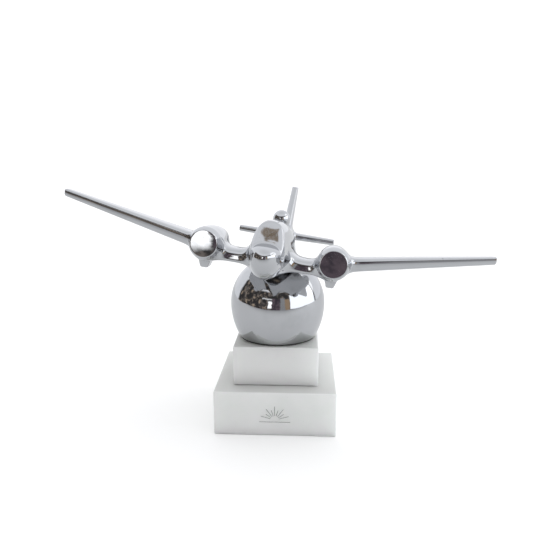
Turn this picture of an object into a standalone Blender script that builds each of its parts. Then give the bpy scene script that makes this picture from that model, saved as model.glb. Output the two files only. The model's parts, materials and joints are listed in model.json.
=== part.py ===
"""Desktop airliner model: a banked twin-engined aeroplane on a globe and a stepped plinth.

The origin is the middle of the plinth's underside.  +Z is up, -Y is the front of the plinth
and +X is its right-hand side.  The aeroplane is drawn in its own axes (x to its right-hand
side as seen from the front, y towards the tail, z up) with its datum midway between the two
engine nacelle noses, and is then hung on the ball of the stud by a chain of empties: heading,
pitch and bank.  All the dimensions below are in millimetres and degrees.
"""

import bpy
import bmesh
from math import cos, sin, pi, radians, sqrt, tan
from mathutils import Matrix, Vector

MM = 0.001
GAP = 0.3                        # clearance between neighbouring pieces

# ---------------------------------------------------------------- stand
PLINTH_WIDTH = 90.0
LOWER_PLINTH_TOP = 33.6
UPPER_PLINTH_WIDTH = 63.4
UPPER_PLINTH_TOP = 63.6
PLINTH_BEVEL = 0.9
FELT_WIDTH = 70.0
FELT_THICKNESS = 1.0
FELT_STANDOUT = 0.2              # the plinth's rim stays this far above the table

GASKET_THICKNESS = 0.8
GLOBE_RADIUS = 36.3
GLOBE_CENTRE_Z = 90.5
GLOBE_BOTTOM_Z = UPPER_PLINTH_TOP + 2 * GAP + GASKET_THICKNESS
GLOBE_LOWER_STRETCH = 1.22       # the lower half is a half-ellipse, deeper than a half-circle
GLOBE_WALL = 1.4
GLOBE_HOLE_RADIUS = 3.8
GLOBE_SEGMENTS = 36

BOLT_RADIUS = 2.8
BOLT_HOLE_RADIUS = 3.3
BOLT_HEAD_RADIUS = 5.0
BOLT_HEAD_Z = 6.0
BOLT_HEAD_HEIGHT = 4.0
BOLT_WASHER_THICKNESS = 1.2
BOLT_NUT_HEIGHT = 4.5
COUNTERBORE_RADIUS = 7.0
BASE_PLATE_THICKNESS = 3.0
BASE_PLATE_Z = GLOBE_BOTTOM_Z + 1.0

# ---------------------------------------------------------------- swivel and ball joint
BALL_Z = 136.0
BALL_RADIUS = 5.0
NECK_RADIUS = 2.2
SHANK_BOTTOM_Z = 112.0
BUSH_FLANGE_RADIUS = 5.4
BUSH_FLANGE_THICKNESS = 1.3
BUSH_RADIUS = 3.5
BUSH_BORE_RADIUS = 2.5
BUSH_BOTTOM_Z = 120.0
SWIVEL_WASHER_RADIUS = 5.6
SWIVEL_WASHER_THICKNESS = 0.8
SWIVEL_NUT_HEIGHT = 3.6

LINER_INNER = 5.35
LINER_OUTER = 6.45
SOCKET_SPHERE = 6.8
SOCKET_RADIUS = 7.6
SOCKET_BORE_RADIUS = 7.95
RETAINER_BOTTOM = -4.3           # heights from the ball's centre, in the aeroplane's axes
RETAINER_TOP = -0.15
UPPER_CUP_TOP = 3.9
SOCKET_BORE_TOP = 4.3
PAD_RADIUS = 3.0
PAD_TOP = 7.15
PAD_CHAMBER_RADIUS = 3.35
PAD_CHAMBER_TOP = 9.2
CLAMP_SCREW_RADIUS = 1.9
CLAMP_SCREW_HOLE = 2.25
CLAMP_HOLE_TOP = 1.3             # blind end of the knob's hole, from the knob's centre
KNOB_RADIUS = 6.5
KNOB_HEIGHT = 19.4
KNOB_SEAT_RADIUS = 5.6
KNOB_SEAT_HEIGHT = 12.6
KNOB_FOOT = -6.2                 # flat underside of the knob, from its centre

# ---------------------------------------------------------------- attitude of the aeroplane
HEADING = -2.72
PITCH = -4.0                     # nose up
BANK = 8.39                      # right-hand wing down
BALL_Y = 58.6                    # the ball's centre, from the aeroplane's datum
BALL_HEIGHT = 1.6

# ---------------------------------------------------------------- airframe
NOSE_Y = -31.0
TAIL_Y = 168.0
SECTION_POINTS = 24
ROOF_SQUARENESS = 2.25
BELLY_SQUARENESS = 2.1
WINDSCREEN_FOOT = (0.0, -17.2, 7.6)
WINDSCREEN_RAKE = 58.0
QUARTER_PANE_TURN = 38.0
QUARTER_PANE_X = 9.6
NACELLE_X = 43.6
NACELLE_RADIUS = 11.25
NACELLE_SEGMENTS = 24
NACELLE_CAP_RADIUS = 9.3         # the nearly flat disc at the front
NACELLE_CAP_DEPTH = 0.3
NACELLE_NOSE_Y = -6.3
NACELLE_TAIL_Y = 60.0
WING_TIP = (149.1, 9.1, 18.25)   # leading edge of the right-hand tip
WING_ROOT_CHORD = 38.0
WING_TIP_CHORD = 17.8
WING_ROOT_THICKNESS = 10.4
WING_TIP_THICKNESS = 5.5
WING_ROOT_Z = -2.0
WING_ROOT_Y = 2.0
CENTRE_WING_Y = 1.0
CENTRE_WING_Z = -5.6
CENTRE_WING_CHORD = 44.0
CENTRE_WING_THICKNESS = 9.4
SPAR_RADIUS = 1.1
SPAR_HOLE_RADIUS = 1.4
SPAR_Y = 16.0
SPAR_HALF_LENGTH = 39.0
WING_SPIGOT_RADIUS = 1.6
WING_SPIGOT_HOLE = 1.9
WING_SPIGOT_Y = 17.0
WING_SPIGOT_INNER_X = 47.0
STUB_BOTTOM_Z = -17.4
STUB_Y = 11.0
STUB_HOLE_RADIUS = 2.0
STUB_PEG_RADIUS = 1.7
TAILPLANE_HALF_SPAN = 42.9
TAILPLANE_Z = 2.8
TAILPLANE_Y = 133.0              # leading edge at the middle
TAILPLANE_SWEEP = 4.5
TAILPLANE_CHORD = (26.0, 15.0)   # middle, tip
TAILPLANE_THICKNESS = (5.4, 4.2)
FIN_ROOT_Z = 6.0
FIN_TOP_Z = 46.0
FIN_UNDERSIDE_Z = 8.4
FIN_LEAD_Y = (120.0, 156.0)      # leading edge at the root and the top
FIN_CHORD = (47.0, 15.0)
FIN_THICKNESS = (6.6, 5.0)
FIN_FALL_OFF = 0.85              # below one: the leading edge is a little hollow
FIN_SPIGOT_RADIUS = 2.4
FIN_SPIGOT_BOTTOM = 6.2
FIN_SPIGOT_TOP = 14.0
TAIL_JOINT_Y = 144.0
TAIL_SCREW_HOLE = 1.4
TAIL_SCREW_SEAT = -0.9
TAIL_SCREW_HEAD = 1.2
TAIL_SCREW_HEAD_RADIUS = 2.0
TAIL_SCREW_TOP = 9.4
SADDLE_CLEARANCE = 4.2           # between the globe and the hollow in the belly
SADDLE_LENGTHEN = 1.35

AEROFOIL_POINTS = 8
SMALL_SEGMENTS = 20


# ================================================================ helpers
def clear_scene():
    for obj in list(bpy.data.objects):
        bpy.data.objects.remove(obj, do_unlink=True)


def material(name, colour, roughness, metallic):
    mat = bpy.data.materials.new(name)
    mat.use_nodes = True
    shader = mat.node_tree.nodes["Principled BSDF"]
    shader.inputs["Base Color"].default_value = (*colour, 1.0)
    shader.inputs["Roughness"].default_value = roughness
    shader.inputs["Metallic"].default_value = metallic
    return mat


def empty(name, parent=None, location=(0, 0, 0), rotation=(0, 0, 0)):
    obj = bpy.data.objects.new(name, None)
    bpy.context.collection.objects.link(obj)
    obj.parent = parent
    obj.location = Vector(location) * MM
    obj.rotation_euler = rotation
    return obj


def add_object(name, bm, mat=None, parent=None, location=(0, 0, 0)):
    """Turn a bmesh drawn in millimetres into an object; without a material it is a cutter."""
    bmesh.ops.recalc_face_normals(bm, faces=bm.faces)
    bmesh.ops.scale(bm, vec=(MM, MM, MM), verts=bm.verts)
    mesh = bpy.data.meshes.new(name)
    bm.to_mesh(mesh)
    bm.free()
    obj = bpy.data.objects.new(name, mesh)
    bpy.context.collection.objects.link(obj)
    obj.parent = parent
    obj.location = Vector(location) * MM
    if mat is None:
        obj.hide_render = True
        obj.display_type = "WIRE"
    else:
        mesh.materials.append(mat)
        mesh.shade_smooth()
        mesh.set_sharp_from_angle(angle=radians(35))
    return obj


def loft(rings):
    """Skin a list of equal rings of points and close both ends."""
    bm = bmesh.new()
    loops = [[bm.verts.new(point) for point in ring] for ring in rings]
    count = len(rings[0])
    for near, far in zip(loops, loops[1:]):
        for i in range(count):
            j = (i + 1) % count
            bm.faces.new((near[i], near[j], far[j], far[i]))
    bm.faces.new(loops[0])
    bm.faces.new(loops[-1])
    return bm


def turned(profile, segments, axis="Z"):
    """Spin a closed outline of (radius, height) points about Z, or lay the result along Y."""
    bm = bmesh.new()
    verts = [bm.verts.new((radius, 0.0, height)) for radius, height in profile]
    edges = [bm.edges.new((a, b)) for a, b in zip(verts, verts[1:] + verts[:1])]
    bmesh.ops.spin(bm, geom=verts + edges, cent=(0, 0, 0), axis=(0, 0, 1),
                   angle=2 * pi, steps=segments, use_merge=True)
    bmesh.ops.remove_doubles(bm, verts=bm.verts, dist=1e-4)
    if axis == "Y":
        bmesh.ops.rotate(bm, verts=bm.verts, cent=(0, 0, 0), matrix=Matrix.Rotation(-pi / 2, 3, "X"))
    return bm


def cylinder(radius, low, high, segments=32, axis="Z"):
    bm = bmesh.new()
    bmesh.ops.create_cone(bm, cap_ends=True, segments=segments, radius1=radius, radius2=radius,
                          depth=high - low)
    bmesh.ops.translate(bm, verts=bm.verts, vec=(0, 0, (low + high) / 2))
    if axis == "X":
        bmesh.ops.rotate(bm, verts=bm.verts, cent=(0, 0, 0), matrix=Matrix.Rotation(pi / 2, 3, "Y"))
    return bm


def block(width, depth, low, high):
    bm = bmesh.new()
    bmesh.ops.create_cube(bm, size=1.0)
    bmesh.ops.scale(bm, vec=(width, depth, high - low), verts=bm.verts)
    bmesh.ops.translate(bm, verts=bm.verts, vec=(0, 0, (low + high) / 2))
    return bm


def combine(obj, other, operation):
    modifier = obj.modifiers.new(operation.title() + " " + other.name, "BOOLEAN")
    modifier.operation = operation
    modifier.solver = "EXACT"
    modifier.object = other


def cut(obj, *cutters):
    for cutter in cutters:
        combine(obj, cutter, "DIFFERENCE")


def join(obj, *additions):
    for addition in additions:
        combine(obj, addition, "UNION")


def bevel(obj, width):
    modifier = obj.modifiers.new("Bevel", "BEVEL")
    modifier.width = width * MM
    modifier.segments = 2
    modifier.limit_method = "ANGLE"


def arc(centre, radius, start, end, steps):
    """Points (radius, height) on a circle centred at that height on the axis; angles up from level."""
    points = []
    for i in range(steps + 1):
        angle = start + (end - start) * i / steps
        points.append((radius * cos(angle), centre + radius * sin(angle)))
    return points


def mix(a, b, t):
    return a + (b - a) * t


def smooth(t):
    t = min(max(t, 0.0), 1.0)
    return t * t * (3 - 2 * t)


def along(stations, position):
    """Read a smooth curve through (position, value) stations with level tangents at its ends."""
    if position <= stations[0][0]:
        return stations[0][1]
    for index, (start, end) in enumerate(zip(stations, stations[1:])):
        if position <= end[0]:
            before = stations[max(index - 1, 0)]
            after = stations[min(index + 2, len(stations) - 1)]
            span = end[0] - start[0]
            t = (position - start[0]) / span
            slope_start = (end[1] - before[1]) / (end[0] - before[0]) * span
            slope_end = (after[1] - start[1]) / (after[0] - start[0]) * span
            return ((2 * t ** 3 - 3 * t ** 2 + 1) * start[1] + (t ** 3 - 2 * t ** 2 + t) * slope_start
                    + (3 * t ** 2 - 2 * t ** 3) * end[1] + (t ** 3 - t ** 2) * slope_end)
    return stations[-1][1]


# ================================================================ stand
def make_plinth(mats):
    lower_block = block(PLINTH_WIDTH, PLINTH_WIDTH, FELT_STANDOUT, LOWER_PLINTH_TOP)
    lower = add_object("lower_plinth", lower_block, mats["frosted_glass"])
    bevel(lower, PLINTH_BEVEL)
    upper_block = block(UPPER_PLINTH_WIDTH, UPPER_PLINTH_WIDTH, LOWER_PLINTH_TOP + GAP, UPPER_PLINTH_TOP)
    upper = add_object("upper_plinth", upper_block, mats["frosted_glass"])
    bevel(upper, PLINTH_BEVEL)

    recess_width = FELT_WIDTH + 2 * GAP
    recess = add_object("felt_recess", block(recess_width, recess_width, -1, FELT_THICKNESS + GAP))
    counterbore_top = BOLT_HEAD_Z + BOLT_HEAD_HEIGHT + BOLT_WASHER_THICKNESS + 2 * GAP
    counterbore = add_object("counterbore", cylinder(COUNTERBORE_RADIUS, 0.5, counterbore_top))
    bolt_hole = add_object("bolt_hole", cylinder(BOLT_HOLE_RADIUS, 2, UPPER_PLINTH_TOP + 2, 24))
    cut(lower, recess, counterbore, bolt_hole)
    cut(upper, bolt_hole)

    add_object("base_felt", block(FELT_WIDTH, FELT_WIDTH, 0, FELT_THICKNESS), mats["felt"])


def make_tie_bolt(mats):
    shank_low = BOLT_HEAD_Z + BOLT_HEAD_HEIGHT
    nut_low = BASE_PLATE_Z + BASE_PLATE_THICKNESS + GAP
    nut_high = nut_low + BOLT_NUT_HEIGHT
    outline = [(0, BOLT_HEAD_Z), (BOLT_HEAD_RADIUS - 0.5, BOLT_HEAD_Z), (BOLT_HEAD_RADIUS, BOLT_HEAD_Z + 0.5),
               (BOLT_HEAD_RADIUS, shank_low), (BOLT_RADIUS, shank_low), (BOLT_RADIUS, nut_high + 1.0),
               (BOLT_RADIUS - 0.5, nut_high + 1.5), (0, nut_high + 1.5)]
    add_object("tie_bolt", turned(outline, 20), mats["steel"])

    add_object("tie_bolt_washer", ring(BOLT_HOLE_RADIUS, COUNTERBORE_RADIUS - 0.6, shank_low + GAP,
                                       shank_low + GAP + BOLT_WASHER_THICKNESS), mats["rubber"])
    hexagon_nut("tie_bolt_nut", 5.8, BOLT_HOLE_RADIUS, nut_low, nut_high, mats["steel"])


def ring(inner, outer, low, high, segments=24):
    return turned([(inner, low), (outer, low), (outer, high), (inner, high)], segments)


def hexagon_nut(name, corner_radius, hole_radius, low, high, mat, parent=None):
    nut = add_object(name, cylinder(corner_radius, low, high, 6), mat, parent)
    hole = add_object(name + "_hole", cylinder(hole_radius, low - 1, high + 1, 24), None, parent)
    cut(nut, hole)


def globe_radius_at(height, wall=0.0):
    """Radius of the globe's surface, or of its inside, at a height below its equator."""
    radius = GLOBE_RADIUS - wall
    drop = (GLOBE_CENTRE_Z - height) / (GLOBE_LOWER_STRETCH * radius)
    return radius * sqrt(max(1 - drop * drop, 0.0))


def make_globe(mats):
    def lower_side(wall, steps):
        heights = [mix(GLOBE_BOTTOM_Z, GLOBE_CENTRE_Z, i / steps) for i in range(steps)]
        return [(globe_radius_at(height, wall), height) for height in heights]

    def upper_side(wall, steps):
        radius = GLOBE_RADIUS - wall
        top_angle = pi / 2 - GLOBE_HOLE_RADIUS / radius
        return arc(GLOBE_CENTRE_Z, radius, 0, top_angle, steps)

    outside = lower_side(0.0, 4) + upper_side(0.0, 9)
    inside = lower_side(GLOBE_WALL, 2) + upper_side(GLOBE_WALL, 5)
    add_object("globe_shell", turned(outside + inside[::-1], GLOBE_SEGMENTS), mats["chrome"])

    gasket_low = UPPER_PLINTH_TOP + GAP
    edge = globe_radius_at(GLOBE_BOTTOM_Z)
    add_object("globe_gasket", ring(edge - 5.0, edge - 0.6, gasket_low, gasket_low + GASKET_THICKNESS, 36),
               mats["rubber"])
    plate_edge = globe_radius_at(BASE_PLATE_Z, GLOBE_WALL) - GAP - 0.1
    add_object("globe_base_plate", ring(BOLT_HOLE_RADIUS, plate_edge, BASE_PLATE_Z,
                                        BASE_PLATE_Z + BASE_PLATE_THICKNESS, 36), mats["steel"])


def make_swivel(mats, heading_axis):
    """The flanged bush in the globe's top, and the ball stud that turns in it on its nut."""
    globe_top = GLOBE_CENTRE_Z + GLOBE_RADIUS
    flange_low = globe_top + GAP
    flange_high = flange_low + BUSH_FLANGE_THICKNESS
    outline = [(BUSH_BORE_RADIUS, BUSH_BOTTOM_Z), (BUSH_RADIUS, BUSH_BOTTOM_Z), (BUSH_RADIUS, flange_low),
               (BUSH_FLANGE_RADIUS, flange_low), (BUSH_FLANGE_RADIUS, flange_high - 0.3),
               (BUSH_FLANGE_RADIUS - 0.3, flange_high), (BUSH_BORE_RADIUS, flange_high)]
    add_object("swivel_bush", turned(outline, SMALL_SEGMENTS), mats["brass"])

    shank_low = SHANK_BOTTOM_Z - BALL_Z
    neck_angle = -pi / 2 + NECK_RADIUS / BALL_RADIUS
    stud = [(0, shank_low), (NECK_RADIUS - 0.4, shank_low), (NECK_RADIUS, shank_low + 0.4)]
    stud += arc(0, BALL_RADIUS, neck_angle, pi / 2, 8)[:-1]
    stud += [(0, BALL_RADIUS)]
    add_object("ball_stud", turned(stud, SMALL_SEGMENTS), mats["steel"], heading_axis)

    washer_high = BUSH_BOTTOM_Z - GAP - BALL_Z
    washer_low = washer_high - SWIVEL_WASHER_THICKNESS
    washer = ring(BUSH_BORE_RADIUS, SWIVEL_WASHER_RADIUS, washer_low, washer_high)
    add_object("swivel_washer", washer, mats["steel"], heading_axis)
    nut_high = washer_low - GAP
    nut_low = nut_high - SWIVEL_NUT_HEIGHT
    hexagon_nut("swivel_nut", 4.6, BUSH_BORE_RADIUS, nut_low, nut_high, mats["steel"], heading_axis)


def zone(inner, outer, low, high, steps=3):
    """A band of a spherical shell between two heights."""
    outside = arc(0, outer, angle_at(low, outer), angle_at(high, outer), steps)
    inside = arc(0, inner, angle_at(low, inner), angle_at(high, inner), steps)
    return turned(outside + inside[::-1], SMALL_SEGMENTS)


def angle_at(height, radius):
    """Angle above level of a point at that height on a circle."""
    level = sqrt(radius * radius - height * height)
    return pi / 2 - Vector((0, 1)).angle(Vector((level, height)))


def cup(low, high, steps=3):
    """A round ring with a spherical seat inside it."""
    seat = arc(0, SOCKET_SPHERE, angle_at(low, SOCKET_SPHERE), angle_at(high, SOCKET_SPHERE), steps)
    return turned([(SOCKET_RADIUS, low), (SOCKET_RADIUS, high)] + seat[::-1], SMALL_SEGMENTS)


def make_ball_joint(mats, pitch_axis, bank_axis):
    add_object("ball_liner", zone(LINER_INNER, LINER_OUTER, -2.6, 3.0), mats["nylon"], pitch_axis)
    add_object("socket_retaining_ring", cup(RETAINER_BOTTOM, RETAINER_TOP), mats["brass"], bank_axis)
    add_object("socket_upper_cup", cup(-RETAINER_TOP, UPPER_CUP_TOP), mats["brass"], bank_axis)

    hollow = BALL_RADIUS + 0.35
    seat = arc(0, hollow, angle_at(sqrt(hollow ** 2 - PAD_RADIUS ** 2), hollow), pi / 2, 4)
    pad = [(PAD_RADIUS, PAD_TOP)] + seat[:-1] + [(0, hollow), (0, PAD_TOP)]
    add_object("pressure_pad", turned(pad, 20), mats["brass"], bank_axis)

    screw_low = PAD_TOP + GAP
    screw_high = KNOB_HEIGHT + 1.0
    screw = [(0, screw_low), (CLAMP_SCREW_RADIUS - 0.5, screw_low), (CLAMP_SCREW_RADIUS, screw_low + 0.5),
             (CLAMP_SCREW_RADIUS, screw_high), (0, screw_high)]
    add_object("clamp_screw", turned(screw, 24), mats["steel"], bank_axis)
    knob = [(0, KNOB_FOOT), (sqrt(KNOB_RADIUS ** 2 - KNOB_FOOT ** 2), KNOB_FOOT)]
    knob += arc(0, KNOB_RADIUS, angle_at(KNOB_FOOT, KNOB_RADIUS), pi / 2, 9)[1:-1] + [(0, KNOB_RADIUS)]
    centre = (0, 0, KNOB_HEIGHT)
    ball = add_object("clamp_knob", turned(knob, SMALL_SEGMENTS), mats["chrome"], bank_axis, centre)
    bore = cylinder(CLAMP_SCREW_HOLE, -KNOB_RADIUS - 1, CLAMP_HOLE_TOP, 24)
    cut(ball, add_object("clamp_knob_hole", bore, None, bank_axis, centre))


# ================================================================ airframe
ROOF = [(-31, 0.6), (-30, 3.2), (-28, 5.2), (-25, 6.6), (-21, 7.4), (-17.5, 7.9), (-15, 12.0),
        (-11, 18.0), (-6, 21.2), (2, 22.3), (14, 22.3), (36, 19.3), (63, 14.2), (100, 11.0), (140, 9.4),
        (160, 7.6), (168, 4.6)]
BELLY = [(-31, -0.6), (-30, -5.0), (-28, -8.8), (-24, -12.4), (-18, -14.6), (-8, -15.4), (10, -15.2),
         (36, -14.4), (63, -12.6), (100, -8.4), (140, -3.0), (160, 0.2), (168, 3.0)]
HALF_WIDTH = [(-31, 0.8), (-30, 3.9), (-28, 6.4), (-24, 8.8), (-18, 10.5), (-8, 12.0), (10, 13.6),
              (30, 14.3), (45, 14.0), (63, 12.8), (100, 9.2), (140, 5.8), (160, 3.6), (168, 0.9)]
FUSELAGE_STATIONS = (-31, -30.6, -29.8, -28.4, -26.5, -24, -21, -17.8, -16.2, -13.5, -10, -5, 4, 18, 36, 60,
                     88, 118, 142, 158, 165, 168)
WIDTH_CENTRE_Z = [(-31, 0.0), (-20, 0.6), (30, 1.4), (168, 4.0)]


def fuselage_ring(station, grow):
    half_width = along(HALF_WIDTH, station) + grow
    middle = along(WIDTH_CENTRE_Z, station)
    rise = along(ROOF, station) - middle + grow
    drop = middle - along(BELLY, station) + grow
    points = []
    for i in range(SECTION_POINTS):
        angle = 2 * pi * i / SECTION_POINTS
        squareness = ROOF_SQUARENESS if sin(angle) > 0 else BELLY_SQUARENESS
        across = abs(cos(angle)) ** (2 / squareness) * (1 if cos(angle) >= 0 else -1)
        up = abs(sin(angle)) ** (2 / squareness) * (1 if sin(angle) >= 0 else -1)
        points.append((half_width * across, station, middle + up * (rise if up > 0 else drop)))
    return points


def fuselage_shape(grow=0.0):
    rings = [fuselage_ring(station, grow) for station in FUSELAGE_STATIONS]
    if grow:
        rings.insert(0, [(x, y - grow, z) for x, y, z in rings[0]])
        rings.append([(x, y + grow, z) for x, y, z in rings[-1]])
    return loft(rings)


def windscreen_cutter(name, parent, turn):
    """A wedge whose rear face is one flat pane, raked back and turned about its foot."""
    width, depth, height = 44, 30, 30
    bm = block(width, depth, -0.1, height)
    bmesh.ops.translate(bm, verts=bm.verts, vec=(0, -depth / 2, 0))
    for vert in bm.verts:
        vert.co.y += max(vert.co.z, 0) / tan(radians(WINDSCREEN_RAKE))
    sideways = QUARTER_PANE_X * (turn > 0) - QUARTER_PANE_X * (turn < 0)
    foot = Vector(WINDSCREEN_FOOT) + Vector((sideways, 0, 0))
    bmesh.ops.rotate(bm, verts=bm.verts, cent=(0, 0, 0), matrix=Matrix.Rotation(radians(turn), 3, "Z"))
    bmesh.ops.translate(bm, verts=bm.verts, vec=foot)
    return add_object(name, bm, None, parent)


def make_fuselage(mats, datum):
    body = add_object("fuselage", fuselage_shape(), mats["chrome"], datum)
    panes = (("windscreen_plane", 0), ("left_quarter_plane", -QUARTER_PANE_TURN),
             ("right_quarter_plane", QUARTER_PANE_TURN))
    for name, turn in panes:
        cut(body, windscreen_cutter(name, datum, turn))

    ball = Vector((0, BALL_Y, BALL_HEIGHT))
    saddle_radius = GLOBE_RADIUS + SADDLE_CLEARANCE
    bm = bmesh.new()
    bmesh.ops.create_uvsphere(bm, u_segments=32, v_segments=18, radius=saddle_radius)
    bmesh.ops.scale(bm, vec=(1.0, SADDLE_LENGTHEN, 1.0), verts=bm.verts)
    saddle = add_object("saddle", bm, None, datum, ball + Vector((0, 0, GLOBE_CENTRE_Z - BALL_Z)))
    bore = add_object("socket_bore", cylinder(SOCKET_BORE_RADIUS, -20, SOCKET_BORE_TOP), None, datum, ball)
    chamber_bore = cylinder(PAD_CHAMBER_RADIUS, 2, PAD_CHAMBER_TOP, 24)
    chamber = add_object("pad_chamber", chamber_bore, None, datum, ball)
    thread = add_object("clamp_thread", cylinder(CLAMP_SCREW_HOLE, 6, 30, 24), None, datum, ball)
    seat = add_object("knob_seat", cylinder(KNOB_SEAT_RADIUS, KNOB_SEAT_HEIGHT, 30), None, datum, ball)
    spar = add_object("spar_hole", cylinder(SPAR_HOLE_RADIUS, -30, 30, 20, "X"), None, datum,
                      (0, SPAR_Y, CENTRE_WING_Z))
    slot = add_object("tailplane_slot", tailplane_shape(GAP), None, datum)
    at_tail = (0, TAIL_JOINT_Y, 0)
    spigot = add_object("fin_spigot_hole", cylinder(FIN_SPIGOT_RADIUS + GAP, 4, 20, 20), None, datum, at_tail)
    screw = add_object("tail_screw_hole", cylinder(TAIL_SCREW_HOLE, -10, 6, 20), None, datum, at_tail)
    head_hole = cylinder(TAIL_SCREW_HEAD_RADIUS + GAP + 0.1, -10, TAIL_SCREW_SEAT, 20)
    head = add_object("tail_screw_head_hole", head_hole, None, datum, at_tail)
    cut(body, saddle, bore, chamber, thread, seat, spar, slot, spigot, screw, head)


def aerofoil(chord, thickness, grow=0.0):
    """Points (back, up) round a blunt-nosed section, from the leading edge over the top."""
    def half(fraction):
        nose = 0.2969 * sqrt(fraction) - 0.1260 * fraction
        body = -0.3516 * fraction ** 2 + 0.2843 * fraction ** 3 - 0.0950 * fraction ** 4
        return 5 * thickness * (nose + body)

    fractions = [(1 - cos(pi * i / AEROFOIL_POINTS)) / 2 for i in range(AEROFOIL_POINTS + 1)]
    top = [(mix(-grow, chord + grow, f), 1.1 * half(f) + grow * (f > 0)) for f in fractions]
    under = [(mix(-grow, chord + grow, f), -0.9 * half(f) - grow) for f in fractions[:0:-1]]
    return top + under


def wing_loft(sections, grow=0.0):
    """Skin sections given as (x, leading edge y, z, chord, thickness)."""
    rings = []
    for x, lead, height, chord, thickness in sections:
        rings.append([(x, lead + back, height + up) for back, up in aerofoil(chord, thickness, grow)])
    return loft(rings)


def nacelle_profile(grow=0.0):
    """Half outline (radius, distance back): blunt nose, round shoulder, body, tail cone."""
    cap_edge_y = NACELLE_NOSE_Y + NACELLE_CAP_DEPTH
    points = [(0, NACELLE_NOSE_Y), (NACELLE_CAP_RADIUS - 0.5, cap_edge_y - 0.1)]
    shoulder = [(NACELLE_CAP_RADIUS, cap_edge_y + 0.4), (10.25, -4.0), (10.9, -2.1), (NACELLE_RADIUS, 1.0)]
    body = [(NACELLE_RADIUS, 8.0), (11.1, 16.0), (10.6, 25.0), (9.8, 34.0), (8.6, 43.0), (7.0, 50.0),
            (4.9, 56.0), (2.7, 59.0)]
    points += shoulder + body + [(0, NACELLE_TAIL_Y)]
    if grow:
        inner = points[1:-1]
        points = [(0, points[0][1] - grow)] + [(r + grow, y) for r, y in inner] + [(0, points[-1][1] + grow)]
    return points


def nacelle_shape(grow=0.0):
    return turned(nacelle_profile(grow), NACELLE_SEGMENTS, "Y")


def make_nacelle(mats, datum, label, side):
    place = (side * NACELLE_X, 0, 0)
    body = add_object("nacelle_" + label, nacelle_shape(), mats["chrome"], datum, place)
    inner_end = -side * (NACELLE_X - SPAR_HALF_LENGTH - GAP)
    low, high = sorted((inner_end, -side * 20))
    spar_hole = cylinder(SPAR_HOLE_RADIUS, low, high, 20, "X")
    spar = add_object("nacelle_spar_hole_" + label, spar_hole, None, datum, (place[0], SPAR_Y, CENTRE_WING_Z))
    low, high = sorted((side * (WING_SPIGOT_INNER_X - NACELLE_X - GAP), side * 20))
    spigot_hole = cylinder(WING_SPIGOT_HOLE, low, high, 20, "X")
    spigot = add_object("nacelle_wing_hole_" + label, spigot_hole, None, datum,
                        (place[0], WING_SPIGOT_Y, spigot_height()))
    stub = add_object("nacelle_stub_hole_" + label, cylinder(STUB_HOLE_RADIUS, -20, -6.0, 20), None, datum,
                      (place[0], STUB_Y, 0))
    cut(body, spar, spigot, stub)


def wing_slope():
    return (WING_TIP[2] - WING_ROOT_Z) / (WING_TIP[0] - NACELLE_X)


def spigot_height():
    """Height of the wing's middle where it meets the nacelle's side."""
    return WING_ROOT_Z + wing_slope() * (NACELLE_RADIUS + 1.0)


def outer_wing_sections(side):
    """Sections from inside the nacelle to the square tip, thickened into a fillet at the root."""
    sections = []
    fractions = (0.0, 0.05, 0.09, 0.12, 0.15, 0.19, 0.24, 0.36, 0.52, 0.68, 0.84, 0.97, 1.0)
    for t in fractions:
        x = mix(NACELLE_X, WING_TIP[0], t)
        flare = max(0.0, 1 - max(x - NACELLE_X - NACELLE_RADIUS + 1.5, 0.0) / 9.0) ** 3
        tip_trim = 0.5 if t == 1.0 else 0.0
        chord = mix(WING_ROOT_CHORD, WING_TIP_CHORD, t) + 3.0 * flare - 2 * tip_trim
        thickness = mix(WING_ROOT_THICKNESS, WING_TIP_THICKNESS, t) + 4.0 * flare - tip_trim
        lead = mix(WING_ROOT_Y, WING_TIP[1], t) - 1.5 * flare + tip_trim
        sections.append((side * x, lead, mix(WING_ROOT_Z, WING_TIP[2], t), chord, thickness))
    return sections


def make_outer_wing(mats, datum, label, side):
    wing = add_object("outer_wing_" + label, wing_loft(outer_wing_sections(side)), mats["chrome"], datum)
    nacelle_place = (side * NACELLE_X, 0, 0)
    nacelle = add_object("outer_wing_trim_" + label, nacelle_shape(GAP), None, datum, nacelle_place)
    trim_middle_x = 20
    inside_x = NACELLE_X + NACELLE_RADIUS * 0.55
    trim = block(2 * (inside_x - trim_middle_x), 120, -30, 30)
    trim_place = (side * trim_middle_x, 0, 0)
    cut(wing, nacelle, add_object("outer_wing_root_trim_" + label, trim, None, datum, trim_place))
    low, high = sorted((side * WING_SPIGOT_INNER_X, side * (NACELLE_X + 22)))
    spigot = add_object("wing_spigot_" + label, cylinder(WING_SPIGOT_RADIUS, low, high, 20, "X"), None, datum,
                        (0, WING_SPIGOT_Y, spigot_height()))
    join(wing, spigot)


def centre_wing_sections(side):
    inner_x = 8.0
    outer_x = NACELLE_X - 5.0
    fuselage_side = 14.6
    nacelle_side = NACELLE_X - NACELLE_RADIUS
    reach = 8.5
    sections = []
    count = 14
    for i in range(count + 1):
        x = mix(inner_x, outer_x, i / count)
        inner_flare = max(0.0, 1 - max(x - fuselage_side, 0.0) / reach) ** 2.4
        outer_flare = max(0.0, 1 - max(nacelle_side - x, 0.0) / (reach - 1.5)) ** 2.4
        flare = max(inner_flare, outer_flare)
        thickness = CENTRE_WING_THICKNESS + 9.0 * inner_flare + 5.0 * outer_flare
        chord = CENTRE_WING_CHORD + 4.0 * flare
        height = CENTRE_WING_Z - 0.6 * inner_flare + 2.8 * smooth(outer_flare)
        sections.append((side * x, CENTRE_WING_Y - 2.0 * flare, height, chord, thickness))
    return sections


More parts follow.
